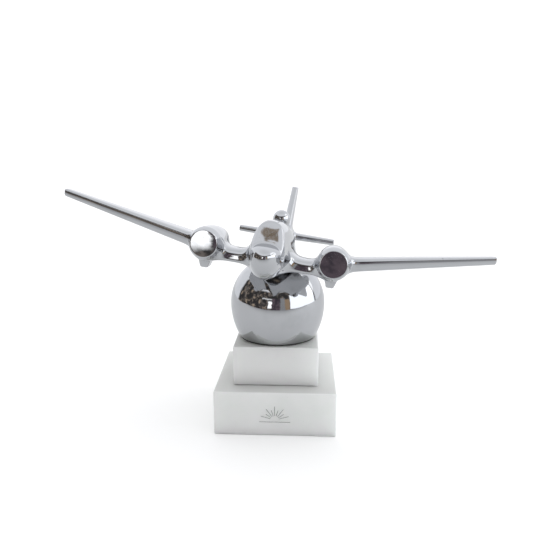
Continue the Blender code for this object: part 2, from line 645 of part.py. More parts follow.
def make_centre_wing(mats, datum, label, side):
    wing = add_object("centre_wing_" + label, wing_loft(centre_wing_sections(side)), mats["chrome"], datum)
    fuselage = add_object("centre_wing_fuselage_trim_" + label, fuselage_shape(GAP), None, datum)
    nacelle = add_object("centre_wing_nacelle_trim_" + label, nacelle_shape(GAP), None, datum,
                         (side * NACELLE_X, 0, 0))
    spar_hole = cylinder(SPAR_HOLE_RADIUS, -60, 60, 20, "X")
    spar = add_object("centre_wing_spar_hole_" + label, spar_hole, None, datum, (0, SPAR_Y, CENTRE_WING_Z))
    cut(wing, fuselage, nacelle, spar)


def make_stub(mats, datum, label, side):
    """The tapered undercarriage leg under a nacelle, with a round peg on top."""
    bm = block(5.6, 11.0, STUB_BOTTOM_Z, -8.0)
    for vert in bm.verts:
        if vert.co.z > STUB_BOTTOM_Z + 1:
            vert.co.x *= 1.6
            vert.co.y *= 1.3
    place = (side * NACELLE_X, STUB_Y, 0)
    stub = add_object("undercarriage_stub_" + label, bm, mats["chrome"], datum, place)
    nacelle = add_object("stub_trim_" + label, nacelle_shape(GAP), None, datum, (side * NACELLE_X, 0, 0))
    peg = add_object("stub_peg_" + label, cylinder(STUB_PEG_RADIUS, -14.0, -6.4, 20), None, datum, place)
    cut(stub, nacelle)
    join(stub, peg)


def make_spar(mats, datum):
    bm = cylinder(SPAR_RADIUS, -SPAR_HALF_LENGTH, SPAR_HALF_LENGTH, 20, "X")
    add_object("wing_spar_rod", bm, mats["steel"], datum, (0, SPAR_Y, CENTRE_WING_Z))


def tailplane_shape(grow=0.0):
    sections = []
    for x in (-1.0, -0.97, -0.6, -0.2, 0.0, 0.2, 0.6, 0.97, 1.0):
        out = abs(x)
        tip_trim = 0.4 if out == 1.0 else 0.0
        chord = mix(*TAILPLANE_CHORD, out) - 2 * tip_trim
        thickness = mix(*TAILPLANE_THICKNESS, out) - tip_trim
        lead = TAILPLANE_Y + TAILPLANE_SWEEP * out + tip_trim
        sections.append((x * TAILPLANE_HALF_SPAN, lead, TAILPLANE_Z, chord, thickness))
    return wing_loft(sections, grow)


def make_tail(mats, datum):
    at_joint = (0, TAIL_JOINT_Y, 0)
    tailplane = add_object("tailplane", tailplane_shape(), mats["chrome"], datum)
    screw_hole = cylinder(TAIL_SCREW_HOLE, -10, 12, 20)
    cut(tailplane, add_object("tailplane_screw_hole", screw_hole, None, datum, at_joint))

    rings = []
    for t in (0.0, 0.25, 0.5, 0.75, 0.96, 1.0):
        tip_trim = 0.4 if t == 1.0 else 0.0
        chord = mix(*FIN_CHORD, t ** FIN_FALL_OFF) - 2 * tip_trim
        thickness = mix(*FIN_THICKNESS, t) - tip_trim
        lead = mix(*FIN_LEAD_Y, t ** FIN_FALL_OFF) + tip_trim
        height = mix(FIN_ROOT_Z, FIN_TOP_Z, t)
        rings.append([(up, lead + back, height) for back, up in aerofoil(chord, thickness)])
    fin = add_object("fin", loft(rings), mats["chrome"], datum)
    trim = add_object("fin_trim", fuselage_shape(GAP), None, datum)
    under = add_object("fin_under_trim", block(30, 80, -20, FIN_UNDERSIDE_Z), None, datum, (0, 164, 0))
    spigot_bar = cylinder(FIN_SPIGOT_RADIUS, FIN_SPIGOT_BOTTOM, FIN_SPIGOT_TOP, 20)
    spigot = add_object("fin_spigot", spigot_bar, None, datum, at_joint)
    tapped_hole = cylinder(TAIL_SCREW_HOLE, 0, TAIL_SCREW_TOP + 0.6, 20)
    tapped = add_object("fin_tapped_hole", tapped_hole, None, datum, at_joint)
    cut(fin, trim, under)
    join(fin, spigot)
    cut(fin, tapped)

    head_high = TAIL_SCREW_SEAT - GAP
    head_low = head_high - TAIL_SCREW_HEAD
    shank = TAIL_SCREW_HOLE - GAP
    screw = [(0, head_low), (TAIL_SCREW_HEAD_RADIUS, head_low), (TAIL_SCREW_HEAD_RADIUS, head_high),
             (shank, head_high), (shank, TAIL_SCREW_TOP), (0, TAIL_SCREW_TOP)]
    add_object("tail_screw", turned(screw, 20), mats["steel"], datum, at_joint)


def make_airframe(mats, datum):
    make_fuselage(mats, datum)
    make_spar(mats, datum)
    for label, side in (("left", -1), ("right", 1)):
        make_nacelle(mats, datum, label, side)
        make_centre_wing(mats, datum, label, side)
        make_outer_wing(mats, datum, label, side)
        make_stub(mats, datum, label, side)
    make_tail(mats, datum)


def main():
    clear_scene()
    mats = {
        "chrome": material("chrome", (0.80, 0.81, 0.83), 0.06, 1.0),
        "steel": material("steel", (0.55, 0.55, 0.56), 0.30, 1.0),
        "brass": material("brass", (0.74, 0.58, 0.30), 0.30, 1.0),
        "frosted_glass": material("frosted_glass", (0.84, 0.87, 0.85), 0.45, 0.0),
        "felt": material("felt", (0.10, 0.22, 0.14), 0.95, 0.0),
        "rubber": material("rubber", (0.05, 0.05, 0.05), 0.80, 0.0),
        "nylon": material("nylon", (0.90, 0.89, 0.84), 0.45, 0.0),
    }
    make_plinth(mats)
    make_tie_bolt(mats)
    make_globe(mats)
    heading_axis = empty("heading_axis", None, (0, 0, BALL_Z), (0, 0, radians(HEADING)))
    pitch_axis = empty("pitch_axis", heading_axis, (0, 0, 0), (radians(PITCH), 0, 0))
    bank_axis = empty("bank_axis", pitch_axis, (0, 0, 0), (0, radians(BANK), 0))
    datum = empty("airframe_datum", bank_axis, (0, -BALL_Y, -BALL_HEIGHT))
    make_swivel(mats, heading_axis)
    make_ball_joint(mats, pitch_axis, bank_axis)
    make_airframe(mats, datum)


main()
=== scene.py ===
"""Desktop airliner model: a chromed aeroplane on a globe and a frosted glass plinth, as a scene.

World axes: the origin is the middle of the plinth's underside, +Z up, -Y the plinth's front.
The airframe is worked out in its own axes, in millimetres: x to its right-hand side as seen from
the front, y towards the tail, z up, from a datum midway between the two engine nacelle noses.
"""

import json
from math import cos, sin, pi, radians, sqrt

import bmesh
import bpy
import numpy as np
from mathutils import Matrix, Vector

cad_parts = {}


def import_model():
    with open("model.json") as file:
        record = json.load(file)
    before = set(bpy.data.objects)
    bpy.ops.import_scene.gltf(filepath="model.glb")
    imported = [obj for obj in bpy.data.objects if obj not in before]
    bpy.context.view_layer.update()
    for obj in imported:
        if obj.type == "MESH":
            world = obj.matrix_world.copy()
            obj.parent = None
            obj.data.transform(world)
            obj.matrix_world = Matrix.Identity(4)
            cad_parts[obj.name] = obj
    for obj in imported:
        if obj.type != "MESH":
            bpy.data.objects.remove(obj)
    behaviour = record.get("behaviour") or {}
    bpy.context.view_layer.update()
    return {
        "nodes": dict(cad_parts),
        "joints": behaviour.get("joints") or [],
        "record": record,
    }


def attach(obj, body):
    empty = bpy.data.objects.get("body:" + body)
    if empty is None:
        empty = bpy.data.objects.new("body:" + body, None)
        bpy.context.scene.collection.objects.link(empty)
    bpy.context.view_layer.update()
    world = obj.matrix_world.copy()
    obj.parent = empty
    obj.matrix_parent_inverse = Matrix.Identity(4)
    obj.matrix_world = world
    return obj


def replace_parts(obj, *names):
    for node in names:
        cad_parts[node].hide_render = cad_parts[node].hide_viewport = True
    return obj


MM = 0.001

# ---------------------------------------------------------------- stand
PLINTH_WIDTH = 90.0
LOWER_PLINTH = (0.2, 33.6)
UPPER_PLINTH_WIDTH = 63.4
UPPER_PLINTH = (33.9, 63.6)
PLINTH_BEVEL = 0.9
GLOBE_RADIUS = 36.3
GLOBE_CENTRE_Z = 90.5
GLOBE_BOTTOM_Z = 65.0
GLOBE_LOWER_STRETCH = 1.22
GLOBE_WALL = 1.4
GLOBE_HOLE_RADIUS = 3.8
ENGRAVING_WIDTH = 0.5
ENGRAVING_DEPTH = 0.35
FAN_RAYS = 9
FAN_LOW_ANGLE = radians(16)
FAN_FOOT_Z = 12.4
FAN_RAY_START, FAN_SHORT_RAY, FAN_LONG_RAY = 3.2, 8.0, 10.6
FAN_BASE_HALF_LENGTH, FAN_BASE_DROP = 11.5, 1.6
BOLT_HOLE_RADIUS = 3.3
COUNTERBORE_RADIUS = 7.0
COUNTERBORE_TOP = 11.8
RECESS_CORNER = 49.0                 # from the middle of the felt's recess to its corner
RECESS_TOP = 1.3
BALL_Z = 136.0
BALL_RADIUS = 5.0
NECK_RADIUS = 2.2
KNOB_RADIUS = 6.45
KNOB_HEIGHT = 19.4
KNOB_FOOT = -6.1

# ---------------------------------------------------------------- airframe
BALL_AT = (0.0, 58.6, 1.6)           # the ball's centre in the airframe's axes
NOSE_Y = -31.0
NOSE_LENGTH = 20.0
TAIL_Y = 168.0
TAIL_LENGTH = 22.0
HALF_WIDTH = [(-31, 11.9), (-18, 11.1), (-8, 11.9), (10, 13.5), (30, 14.2), (45, 13.9), (63, 12.7),
              (100, 9.2), (140, 5.9), (168, 4.6)]
HULL_TOP = [(-31, 9.0), (-18, 8.4), (0, 9.0), (40, 9.0), (100, 8.0), (168, 7.0)]
CABIN_TOP = [(-31, 22.4), (-8, 22.3), (10, 22.2), (36, 19.3), (63, 14.4), (100, 11.2), (140, 9.4),
             (168, 8.8)]
BELLY = [(-31, -15.8), (-8, -15.4), (10, -15.2), (36, -14.4), (63, -12.4), (100, -8.3),
         (140, -3.2), (168, 0.2)]
WIDEST_Z = [(-31, 0.2), (30, 1.4), (168, 4.0)]
ROOF_SQUARENESS = 2.3
BELLY_SQUARENESS = 2.1
WINDSCREEN_FOOT = (0.0, -17.2, 7.6)
WINDSCREEN_RAKE = radians(58)
QUARTER_PANE_TURN = radians(38)
QUARTER_PANE_X = 9.6
SADDLE_RADIUS = 40.5
SADDLE_LENGTHEN = 1.35
SOCKET_BORE_RADIUS = 7.95
SOCKET_BORE_TOP = 4.3
KNOB_SEAT_RADIUS = 5.6
KNOB_SEAT_HEIGHT = 12.6

NACELLE_X = 43.6
NACELLE_RADIUS = 11.25
NACELLE_CAP_RADIUS = 9.3
NACELLE_CAP_DEPTH = 0.2
NACELLE_CAP_Y = -6.0                 # where the front disc meets the lip round it
NACELLE_LIP_Y = 1.0
NACELLE_WIDEST_Y = 6.0
NACELLE_TAIL_Y = 60.0
NACELLE_FULLNESS = 0.42              # smaller keeps the body stout further back
WING_ROOT_Y, WING_TIP_Y = 2.0, 9.1
WING_ROOT_Z, WING_TIP_Z = -2.0, 18.2
WING_TIP_X = 149.0
WING_CHORD = (38.0, 17.8)
WING_THICKNESS = (10.2, 5.3)
CENTRE_WING_Y = 1.0
CENTRE_WING_Z = -5.6
CENTRE_WING_CHORD = 44.0
CENTRE_WING_THICKNESS = 9.6
STUB_Y = 11.0
STUB_BOTTOM_Z = -17.4
TAILPLANE_HALF_SPAN = 42.9
TAILPLANE_Z = 2.6
TAILPLANE_Y = 133.0
TAILPLANE_SWEEP = 4.5
TAILPLANE_CHORD = (26.0, 15.0)
TAILPLANE_THICKNESS = (6.6, 5.2)
FIN_THICKNESS = (8.2, 5.6)
FIN_FOOT_Z = 6.0
FIN_TOP_Z = 46.0
FIN_LEAD_Y = (120.0, 155.5)          # leading edge at the foot and at the top
FIN_CHORD = (47.0, 15.1)
WING_NOSE = 0.05                     # share of the chord that the rounding of the nose takes
TAIL_NOSE = 0.06
NOSE_FLATNESS = 2.8                  # two gives a round leading edge, more a flatter one
WING_NOSE_TILT = 0.18                # the flat of the outer wing's leading edge looks down a little
CENTRE_WING_CROWN = 0.5
WING_CROWN = 0.15                    # how far the leading edge sits below the middle of the thickness

CREVICE_SHADE_REACH = 0.012                 # metres within which crevices get painted shade in the chrome's colour

TABLE_WIDTH = 5200.0
TABLE_DEPTH = 7000.0
TABLE_FRONT = -780.0
TABLE_SHADE_DEPTH = 560.0            # the table's front looks dimmer in mirror reflections
TABLE_GLOW = 0.16

CARD_AT = (10.0, -655.0, 1314.0)     # the square above the viewer
CARD_FACING = (0.0, 0.45, -0.89)
CARD_SIZE = (38.0, 31.0)

LIGHT_AT = (1.25, 0.05, 0.85)        # metres, as are the other places below
LIGHT_TARGET = (0.0, 0.0, 0.08)
LIGHT_SIZE = 1.2
LIGHT_POWER = 2.5
CAMERA_AT = (0.02241, -0.44752, 0.20565)
CAMERA_TURN = (radians(78.1465), radians(0.0709), radians(3.1155))
CAMERA_LENS = 38.78

CENTRE_WING_FILLET = 13.0
NACELLE_FILLET = 9.0
OUTER_WING_FILLET = 7.0
TAIL_FILLET = 5.0
STUB_FILLET = 1.6

WING_CUT_INNER = 17.5                # the planes at which the casting is parted into pieces
WING_CUT_MIDDLE = 31.0
WING_CUT_OUTER = 56.5
STUB_CUT_Z = -12.2
TAILPLANE_CUT_X = 7.5
FIN_CUT_Z = 13.0


# ================================================================ numeric helpers
def spline(stations, place):
    """Natural cubic curve through (place, value) stations, held level beyond its ends."""
    knots = np.array([station[0] for station in stations], float)
    values = np.array([station[1] for station in stations], float)
    gaps = np.diff(knots)
    count = len(knots)
    system = np.eye(count)
    slopes = np.zeros(count)
    for i in range(1, count - 1):
        system[i, i - 1:i + 2] = gaps[i - 1], 2 * (gaps[i - 1] + gaps[i]), gaps[i]
        slopes[i] = 6 * ((values[i + 1] - values[i]) / gaps[i] - (values[i] - values[i - 1]) / gaps[i - 1])
    bend = np.linalg.solve(system, slopes)
    inside = np.clip(place, knots[0], knots[-1])
    i = np.clip(np.searchsorted(knots, inside, "right") - 1, 0, count - 2)
    left = (knots[i + 1] - inside) / gaps[i]
    right = 1 - left
    curve = ((left ** 3 - left) * bend[i] + (right ** 3 - right) * bend[i + 1]) * gaps[i] ** 2 / 6
    return left * values[i] + right * values[i + 1] + curve


def blend(a, b, width):
    """Union of two distance fields with a fillet."""
    near = np.maximum(width - np.abs(a - b), 0) / width
    return np.minimum(a, b) - near ** 3 * width / 6


def common(a, b, width):
    """Intersection of two distance fields with a rounded edge."""
    return -blend(-a, -b, width)


def mix(a, b, t):
    return a + (b - a) * t


def to_distance(field, x, y, z):
    """Scale a field so that near its zero surface it measures distance."""
    step = 0.05
    here = field(x, y, z)
    slope_x = field(x + step, y, z) - here
    slope_y = field(x, y + step, z) - here
    slope_z = field(x, y, z + step) - here
    return here * step / np.sqrt(slope_x ** 2 + slope_y ** 2 + slope_z ** 2 + 1e-9)


# ================================================================ airframe fields
def body_field(x, y, z, top):
    """One body of the fuselage, with rounded sections and closed round ends."""
    inside_y = np.clip(y, NOSE_Y + 0.02, TAIL_Y - 0.02)
    nose = np.clip((inside_y - NOSE_Y) / NOSE_LENGTH, 0, 1)
    tail = np.clip((TAIL_Y - inside_y) / TAIL_LENGTH, 0, 1)
    closing = np.sqrt(1 - (1 - nose) ** 2) * np.sqrt(1 - (1 - tail) ** 2)
    middle = spline(WIDEST_Z, inside_y)
    half_width = spline(HALF_WIDTH, inside_y) * closing
    rise = (spline(top, inside_y) - middle) * closing
    drop = (middle - spline(BELLY, inside_y)) * closing
    up = z - middle
    power = np.where(up > 0, ROOF_SQUARENESS, BELLY_SQUARENESS)
    height = np.where(up > 0, rise, drop)
    reach = np.sqrt(x ** 2 + up ** 2) + 1e-6
    gauge = ((np.abs(x) / half_width) ** power + (np.abs(up) / height) ** power) ** (1 / power)
    across = reach - reach / np.maximum(gauge, 1e-6)
    beyond = y - inside_y
    return np.where(beyond == 0, across, np.hypot(np.maximum(across, 0), beyond))


def pane_field(x, y, z, turn, sideways):
    """Distance in front of one flat window pane."""
    foot_x, foot_y, foot_z = WINDSCREEN_FOOT
    ahead = -((y - foot_y) * cos(turn) - (x - foot_x - sideways) * sin(turn))
    return ahead * sin(WINDSCREEN_RAKE) + (z - foot_z) * cos(WINDSCREEN_RAKE)


def fuselage_field(x, y, z):
    hull = to_distance(lambda a, b, c: body_field(a, b, c, HULL_TOP), x, y, z)
    cabin = to_distance(lambda a, b, c: body_field(a, b, c, CABIN_TOP), x, y, z)
    panes = pane_field(x, y, z, 0.0, 0.0)
    for side in (-1, 1):
        quarter = pane_field(x, y, z, side * QUARTER_PANE_TURN, side * QUARTER_PANE_X)
        panes = common(panes, quarter, 0.8)
    return blend(hull, common(cabin, panes, 1.6), 1.4)


def section_gauge(back, chord, off_plane, thickness, nose, crown=0.0):
    """Blunt-nosed section, as a gauge that is zero on its skin and negative inside."""
    def swell(u):
        return (1 - np.exp(-u / nose)) * (1 - u ** 2)

    peak = swell(np.linspace(0, 1, 400)).max()
    u = back / chord
    inside = swell(np.clip(u, 0, 1))
    height = np.where(u < 0, u / nose, np.where(u > 1, 2 * (1 - u), inside)) / peak
    above = 2 * off_plane / thickness + crown
    across = np.abs(above) / np.where(above > 0, 1 + crown, 1 - crown)
    return (across ** NOSE_FLATNESS + np.maximum(1 - height, 0) + 1e-6) ** (1 / NOSE_FLATNESS) - 1


def outer_wing_field(x, y, z):
    out = (np.abs(x) - NACELLE_X) / (WING_TIP_X - NACELLE_X)
    lead = mix(WING_ROOT_Y, WING_TIP_Y, out)
    height = mix(WING_ROOT_Z, WING_TIP_Z, out)
    chord = mix(*WING_CHORD, out)
    thickness = mix(*WING_THICKNESS, out)
    back = y - lead + WING_NOSE_TILT * (z - height)
    return section_gauge(back, chord, z - height, thickness, WING_NOSE, WING_CROWN)


def centre_wing_field(x, y, z):
    return section_gauge(y - CENTRE_WING_Y, CENTRE_WING_CHORD, z - CENTRE_WING_Z,
                         CENTRE_WING_THICKNESS, WING_NOSE, CENTRE_WING_CROWN)


def tailplane_field(x, y, z):
    out = np.abs(x) / TAILPLANE_HALF_SPAN
    lead = TAILPLANE_Y + TAILPLANE_SWEEP * out
    return section_gauge(y - lead, mix(*TAILPLANE_CHORD, out), z - TAILPLANE_Z,
                         mix(*TAILPLANE_THICKNESS, out), TAIL_NOSE)


def fin_field(x, y, z):
    up = np.clip((z - FIN_FOOT_Z) / (FIN_TOP_Z - FIN_FOOT_Z), 0, 1.1) ** 0.85
    return section_gauge(y - mix(*FIN_LEAD_Y, up), mix(*FIN_CHORD, up), x, mix(*FIN_THICKNESS, up),
                         TAIL_NOSE)


def nacelle_field(x, y, z):
    reach = np.hypot(np.abs(x) - NACELLE_X, z)
    tail = np.clip((y - NACELLE_WIDEST_Y) / (NACELLE_TAIL_Y - NACELLE_WIDEST_Y), 0, 0.9999)
    lip = np.clip((NACELLE_LIP_Y - y) / (NACELLE_LIP_Y - NACELLE_CAP_Y), 0, 1.5)
    tapered = NACELLE_RADIUS * (1 - tail ** 2) ** NACELLE_FULLNESS
    radius = tapered - (NACELLE_RADIUS - NACELLE_CAP_RADIUS) * lip ** 2
    body = reach - radius + np.maximum(y - NACELLE_TAIL_Y, 0)
    cap_y = NACELLE_CAP_Y - NACELLE_CAP_DEPTH * (1 - (reach / NACELLE_CAP_RADIUS) ** 2)
    return common(body, cap_y - y, 0.7)


def stub_field(x, y, z):
    above = z - STUB_BOTTOM_Z
    half_width = 2.5 + 0.32 * above
    half_length = 5.0 + 0.25 * above
    sides = common(np.abs(np.abs(x) - NACELLE_X) - half_width, np.abs(y - STUB_Y) - half_length, 1.2)
    return common(common(sides, -above, 1.6), z + 4.0, 1.0)


def airframe_field(x, y, z):
    """The whole casting: every part of the airframe with its fillets, hollowed for the mount."""
    body = fuselage_field(x, y, z)
    centre = common(to_distance(centre_wing_field, x, y, z), np.abs(x) - NACELLE_X, 1.0)
    body = blend(body, centre, CENTRE_WING_FILLET)
    nacelle = to_distance(nacelle_field, x, y, z)
    outer = to_distance(outer_wing_field, x, y, z)
    outer = common(outer, np.abs(x) - WING_TIP_X, 0.8)
    outer = common(outer, NACELLE_X - np.abs(x), 1.0)
    body = blend(body, blend(nacelle, outer, OUTER_WING_FILLET), NACELLE_FILLET)
    body = blend(body, stub_field(x, y, z), STUB_FILLET)
    tail = common(to_distance(tailplane_field, x, y, z), np.abs(x) - TAILPLANE_HALF_SPAN, 0.8)
    body = blend(body, tail, TAIL_FILLET)
    fin = common(to_distance(fin_field, x, y, z), z - FIN_TOP_Z, 0.8)
    fin = common(fin, 5.0 - z, 0.8)
    body = blend(body, fin, TAIL_FILLET)

    along = y - BALL_AT[1]
    above = z - BALL_AT[2]
    saddle = np.sqrt(x ** 2 + (along / SADDLE_LENGTHEN) ** 2 + (above + BALL_Z - GLOBE_CENTRE_Z) ** 2)
    body = common(body, SADDLE_RADIUS - saddle, 1.0)
    from_axis = np.hypot(x, along)
    bore = np.maximum(from_axis - SOCKET_BORE_RADIUS, above - SOCKET_BORE_TOP)
    seat = np.maximum(from_axis - KNOB_SEAT_RADIUS, KNOB_SEAT_HEIGHT - above)
    return common(common(body, -bore, 0.6), -seat, 0.6)


# ================================================================ skinning a field
def slopes(field, points):
    """Unit normals of a field at points."""
    step = 0.02
    columns = []
    for axis in range(3):
        ahead = points.copy()
        behind = points.copy()
        ahead[:, axis] += step
        behind[:, axis] -= step
        columns.append(field(*ahead.T) - field(*behind.T))
    normals = np.stack(columns, 1)
    return normals / np.maximum(np.linalg.norm(normals, axis=1, keepdims=True), 1e-9)


def surface_net(field, low, high, step):
    """Vertices and quads of the field's zero surface inside a box, moved onto the exact surface."""
    axes = [np.arange(a, b + s, s) for a, b, s in zip(low, high, step)]
    values = field(axes[0][:, None, None], axes[1][None, :, None], axes[2][None, None, :])
    inside = values < 0
    shape = [n - 1 for n in inside.shape]
    corners = [(i, j, k) for i in (0, 1) for j in (0, 1) for k in (0, 1)]

    def at(grid, corner):
        return grid[tuple(slice(c, c + n) for c, n in zip(corner, shape))]

    filled = sum(at(inside, corner).astype(np.int8) for corner in corners)
    cells = np.argwhere((filled > 0) & (filled < 8))
    number = np.full(shape, -1, np.int64)
    number[tuple(cells.T)] = np.arange(len(cells))

    total = np.zeros((len(cells), 3))
    crossings = np.zeros(len(cells))
    for start in corners:
        for axis in range(3):
            if start[axis]:
                continue
            end = tuple(1 if i == axis else c for i, c in enumerate(start))
            first = values[tuple((cells + start).T)]
            last = values[tuple((cells + end).T)]
            crossed = (first < 0) != (last < 0)
            share = np.where(crossed, first / np.where(crossed, first - last, 1), 0)
            place = np.tile(np.array(start, float), (len(cells), 1))
            place[:, axis] = share
            total += place * crossed[:, None]
            crossings += crossed
    points = np.array([a[0] for a in axes]) + (cells + total / crossings[:, None]) * np.array(step)
    for _ in range(3):
        distance = field(*points.T)
        points -= (np.clip(distance, -0.5, 0.5)[:, None]) * slopes(field, points)

    quads = []
    for axis in range(3):
        one, two = (axis + 1) % 3, (axis + 2) % 3
        near = [slice(1, n) for n in shape]
        near[axis] = slice(0, shape[axis])
        far = list(near)
        far[axis] = slice(1, shape[axis] + 1)
        near_in = inside[tuple(near)]
        far_in = inside[tuple(far)]
        edges = np.argwhere(near_in != far_in)
        outward = near_in[tuple(edges.T)]
        edges[:, one] += 1
        edges[:, two] += 1
        ring = []
        for back_one, back_two in ((1, 1), (0, 1), (0, 0), (1, 0)):
            cell = edges.copy()
            cell[:, one] -= back_one
            cell[:, two] -= back_two
            ring.append(number[tuple(cell.T)])
        ring = np.stack(ring, 1)
        quads.append(np.where(outward[:, None], ring, ring[:, ::-1]))
    return points, np.concatenate(quads)


def part_off(bm, point, normal, chosen=None):
    """Cut away everything on the normal's side of a plane and cap the cut with a flat face."""
    faces = [face for face in bm.faces if chosen is None or chosen(face.calc_center_median())]
    edges = {edge for face in faces for edge in face.edges}
    verts = {vert for face in faces for vert in face.verts}
    cut = bmesh.ops.bisect_plane(bm, geom=[*verts, *edges, *faces], dist=1e-5, plane_co=point,
                                 plane_no=normal, clear_outer=True)
    rim = [item for item in cut["geom_cut"] if isinstance(item, bmesh.types.BMEdge) and item.is_boundary]
    if rim:
        for face in bmesh.ops.edgeloop_fill(bm, edges=rim)["faces"]:
            face.smooth = False


def casting(low, high, step, cuts):
    """A closed piece of the airframe, as a bmesh in millimetres."""
    scale = 1.0
    points, quads = surface_net(airframe_field, low, high, [s * scale for s in step])
    bm = bmesh.new()
    verts = [bm.verts.new(point) for point in points]
    for quad in quads.tolist():
        face = bm.faces.new([verts[i] for i in quad])
        face.smooth = True
    for cut in cuts:
        part_off(bm, *cut)
    bmesh.ops.recalc_face_normals(bm, faces=bm.faces)
    return bm


def casting_object(name, bm, matrix, mirror=False):
    """Turn a casting into an object whose mirror finish uses the field's own normals."""
    points = np.array([vert.co for vert in bm.verts])
    normals = slopes(airframe_field, points)
    if mirror:
        bmesh.ops.scale(bm, vec=(-1, 1, 1), verts=bm.verts)
        bmesh.ops.reverse_faces(bm, faces=bm.faces)
        normals[:, 0] *= -1
    bmesh.ops.scale(bm, vec=(MM, MM, MM), verts=bm.verts)
    bm.transform(matrix)
    normals = normals @ np.array(matrix.to_3x3()).T
    mesh = bpy.data.meshes.new(name)
    bm.to_mesh(mesh)
    loop_normals = normals[[loop.vertex_index for loop in mesh.loops]]
    for polygon in mesh.polygons:
        if not polygon.use_smooth:
            for index in polygon.loop_indices:
                loop_normals[index] = polygon.normal
    for polygon in mesh.polygons:
        polygon.use_smooth = True
    mesh.normals_split_custom_set(loop_normals.tolist())
    obj = bpy.data.objects.new(name, mesh)
    bpy.context.scene.collection.objects.link(obj)
    return obj


# ================================================================ mesh helpers
def link_object(name, bm, mat, matrix=None, sharp=30):
    """Turn a bmesh drawn in millimetres into a shaded object."""
    bmesh.ops.recalc_face_normals(bm, faces=bm.faces)
    bmesh.ops.scale(bm, vec=(MM, MM, MM), verts=bm.verts)
    if matrix is not None:
        bm.transform(matrix)
    mesh = bpy.data.meshes.new(name)
    bm.to_mesh(mesh)
    bm.free()
    mesh.materials.append(mat)
    mesh.shade_smooth()
    mesh.set_sharp_from_angle(angle=radians(sharp))
    obj = bpy.data.objects.new(name, mesh)
    bpy.context.scene.collection.objects.link(obj)
    return obj


def turned(profile, segments):
    """Spin a closed outline of (radius, height) points about Z."""
    bm = bmesh.new()
    verts = [bm.verts.new((radius, 0.0, height)) for radius, height in profile]
    edges = [bm.edges.new((a, b)) for a, b in zip(verts, verts[1:] + verts[:1])]
    bmesh.ops.spin(bm, geom=verts + edges, cent=(0, 0, 0), axis=(0, 0, 1), angle=2 * pi,
                   steps=segments, use_merge=True)
    bmesh.ops.remove_doubles(bm, verts=bm.verts, dist=1e-4)
    return bm


def arc(centre, radius, start, end, steps):
    """Points (radius, height) on a circle about a point on the axis; angles up from level."""
    angles = [start + (end - start) * i / steps for i in range(steps + 1)]
    return [(radius * cos(angle), centre + radius * sin(angle)) for angle in angles]


# ================================================================ materials
class Nodes:
    """A few short calls for building one node tree."""

    def __init__(self, tree):
        self.tree = tree

    def add(self, kind, **settings):
        node = self.tree.nodes.new(kind)
        for name, value in settings.items():
            setattr(node, name, value)
        return node

    def put(self, socket, value):
        if isinstance(value, bpy.types.NodeSocket):
            self.tree.links.new(value, socket)
        else:
            socket.default_value = value

    def math(self, operation, a, b=0.0, c=0.0):
        node = self.add("ShaderNodeMath", operation=operation)
        for socket, value in zip(node.inputs, (a, b, c)):
            self.put(socket, value)
        return node.outputs[0]

    def ramp(self, value, low, high, out_low=0.0, out_high=1.0, smooth=True):
        node = self.add("ShaderNodeMapRange", interpolation_type="SMOOTHSTEP" if smooth else "LINEAR")
        for socket, item in zip(node.inputs, (value, low, high, out_low, out_high)):
            self.put(socket, item)
        return node.outputs[0]

    def mix(self, factor, a, b):
        node = self.add("ShaderNodeMix", data_type="RGBA")
        self.put(node.inputs[0], factor)
        self.put(node.inputs[6], a)
        self.put(node.inputs[7], b)
        return node.outputs[2]

    def noise(self, where, scale, detail=4.0, roughness=0.5):
        node = self.add("ShaderNodeTexNoise")
        self.put(node.inputs["Vector"], where)
        node.inputs["Scale"].default_value = scale
        node.inputs["Detail"].default_value = detail
        node.inputs["Roughness"].default_value = roughness
        return node.outputs["Fac"]

    def stretched(self, where, scale, turn=(0, 0, 0)):
        node = self.add("ShaderNodeMapping")
        self.put(node.inputs["Vector"], where)
        node.inputs["Scale"].default_value = scale
        node.inputs["Rotation"].default_value = turn
        return node.outputs[0]

    def pits(self, where, scale, size):
        """One inside scattered small round pits, zero elsewhere."""
        node = self.add("ShaderNodeTexVoronoi")
        self.put(node.inputs["Vector"], where)
        node.inputs["Scale"].default_value = scale
        chosen = self.add("ShaderNodeSeparateColor")
        self.put(chosen.inputs[0], node.outputs["Color"])
        rare = self.math("GREATER_THAN", chosen.outputs[0], 0.86)
        return self.math("MULTIPLY", rare, self.ramp(node.outputs["Distance"], size, size * 0.3))

    def scratches(self, where, scale, turn):
        """Thin, long, broken lines."""
        lines = self.noise(self.stretched(where, (scale, scale * 0.02, scale * 0.6), turn), 1.0, 2.0)
        line = self.ramp(self.math("ABSOLUTE", self.math("SUBTRACT", lines, 0.5)), 0.004, 0.0)
        return self.math("MULTIPLY", line, self.ramp(self.noise(where, scale * 0.12, 2.0), 0.54, 0.66))

    def bump(self, height, distance, normal=None, strength=1.0):
        node = self.add("ShaderNodeBump")
        node.inputs["Strength"].default_value = strength
        node.inputs["Distance"].default_value = distance
        self.put(node.inputs["Height"], height)
        if normal is not None:
            self.put(node.inputs["Normal"], normal)
        return node.outputs[0]


def new_material(name):
    """Material with its node helper, its shader and its object coordinates."""
    mat = bpy.data.materials.new(name)
    mat.use_nodes = True
    nodes = Nodes(mat.node_tree)
    where = nodes.add("ShaderNodeTexCoord").outputs["Object"]
    return mat, nodes, mat.node_tree.nodes["Principled BSDF"], where


def grey(value, tint=(1.0, 1.0, 1.0)):
    return (value * tint[0], value * tint[1], value * tint[2], 1.0)


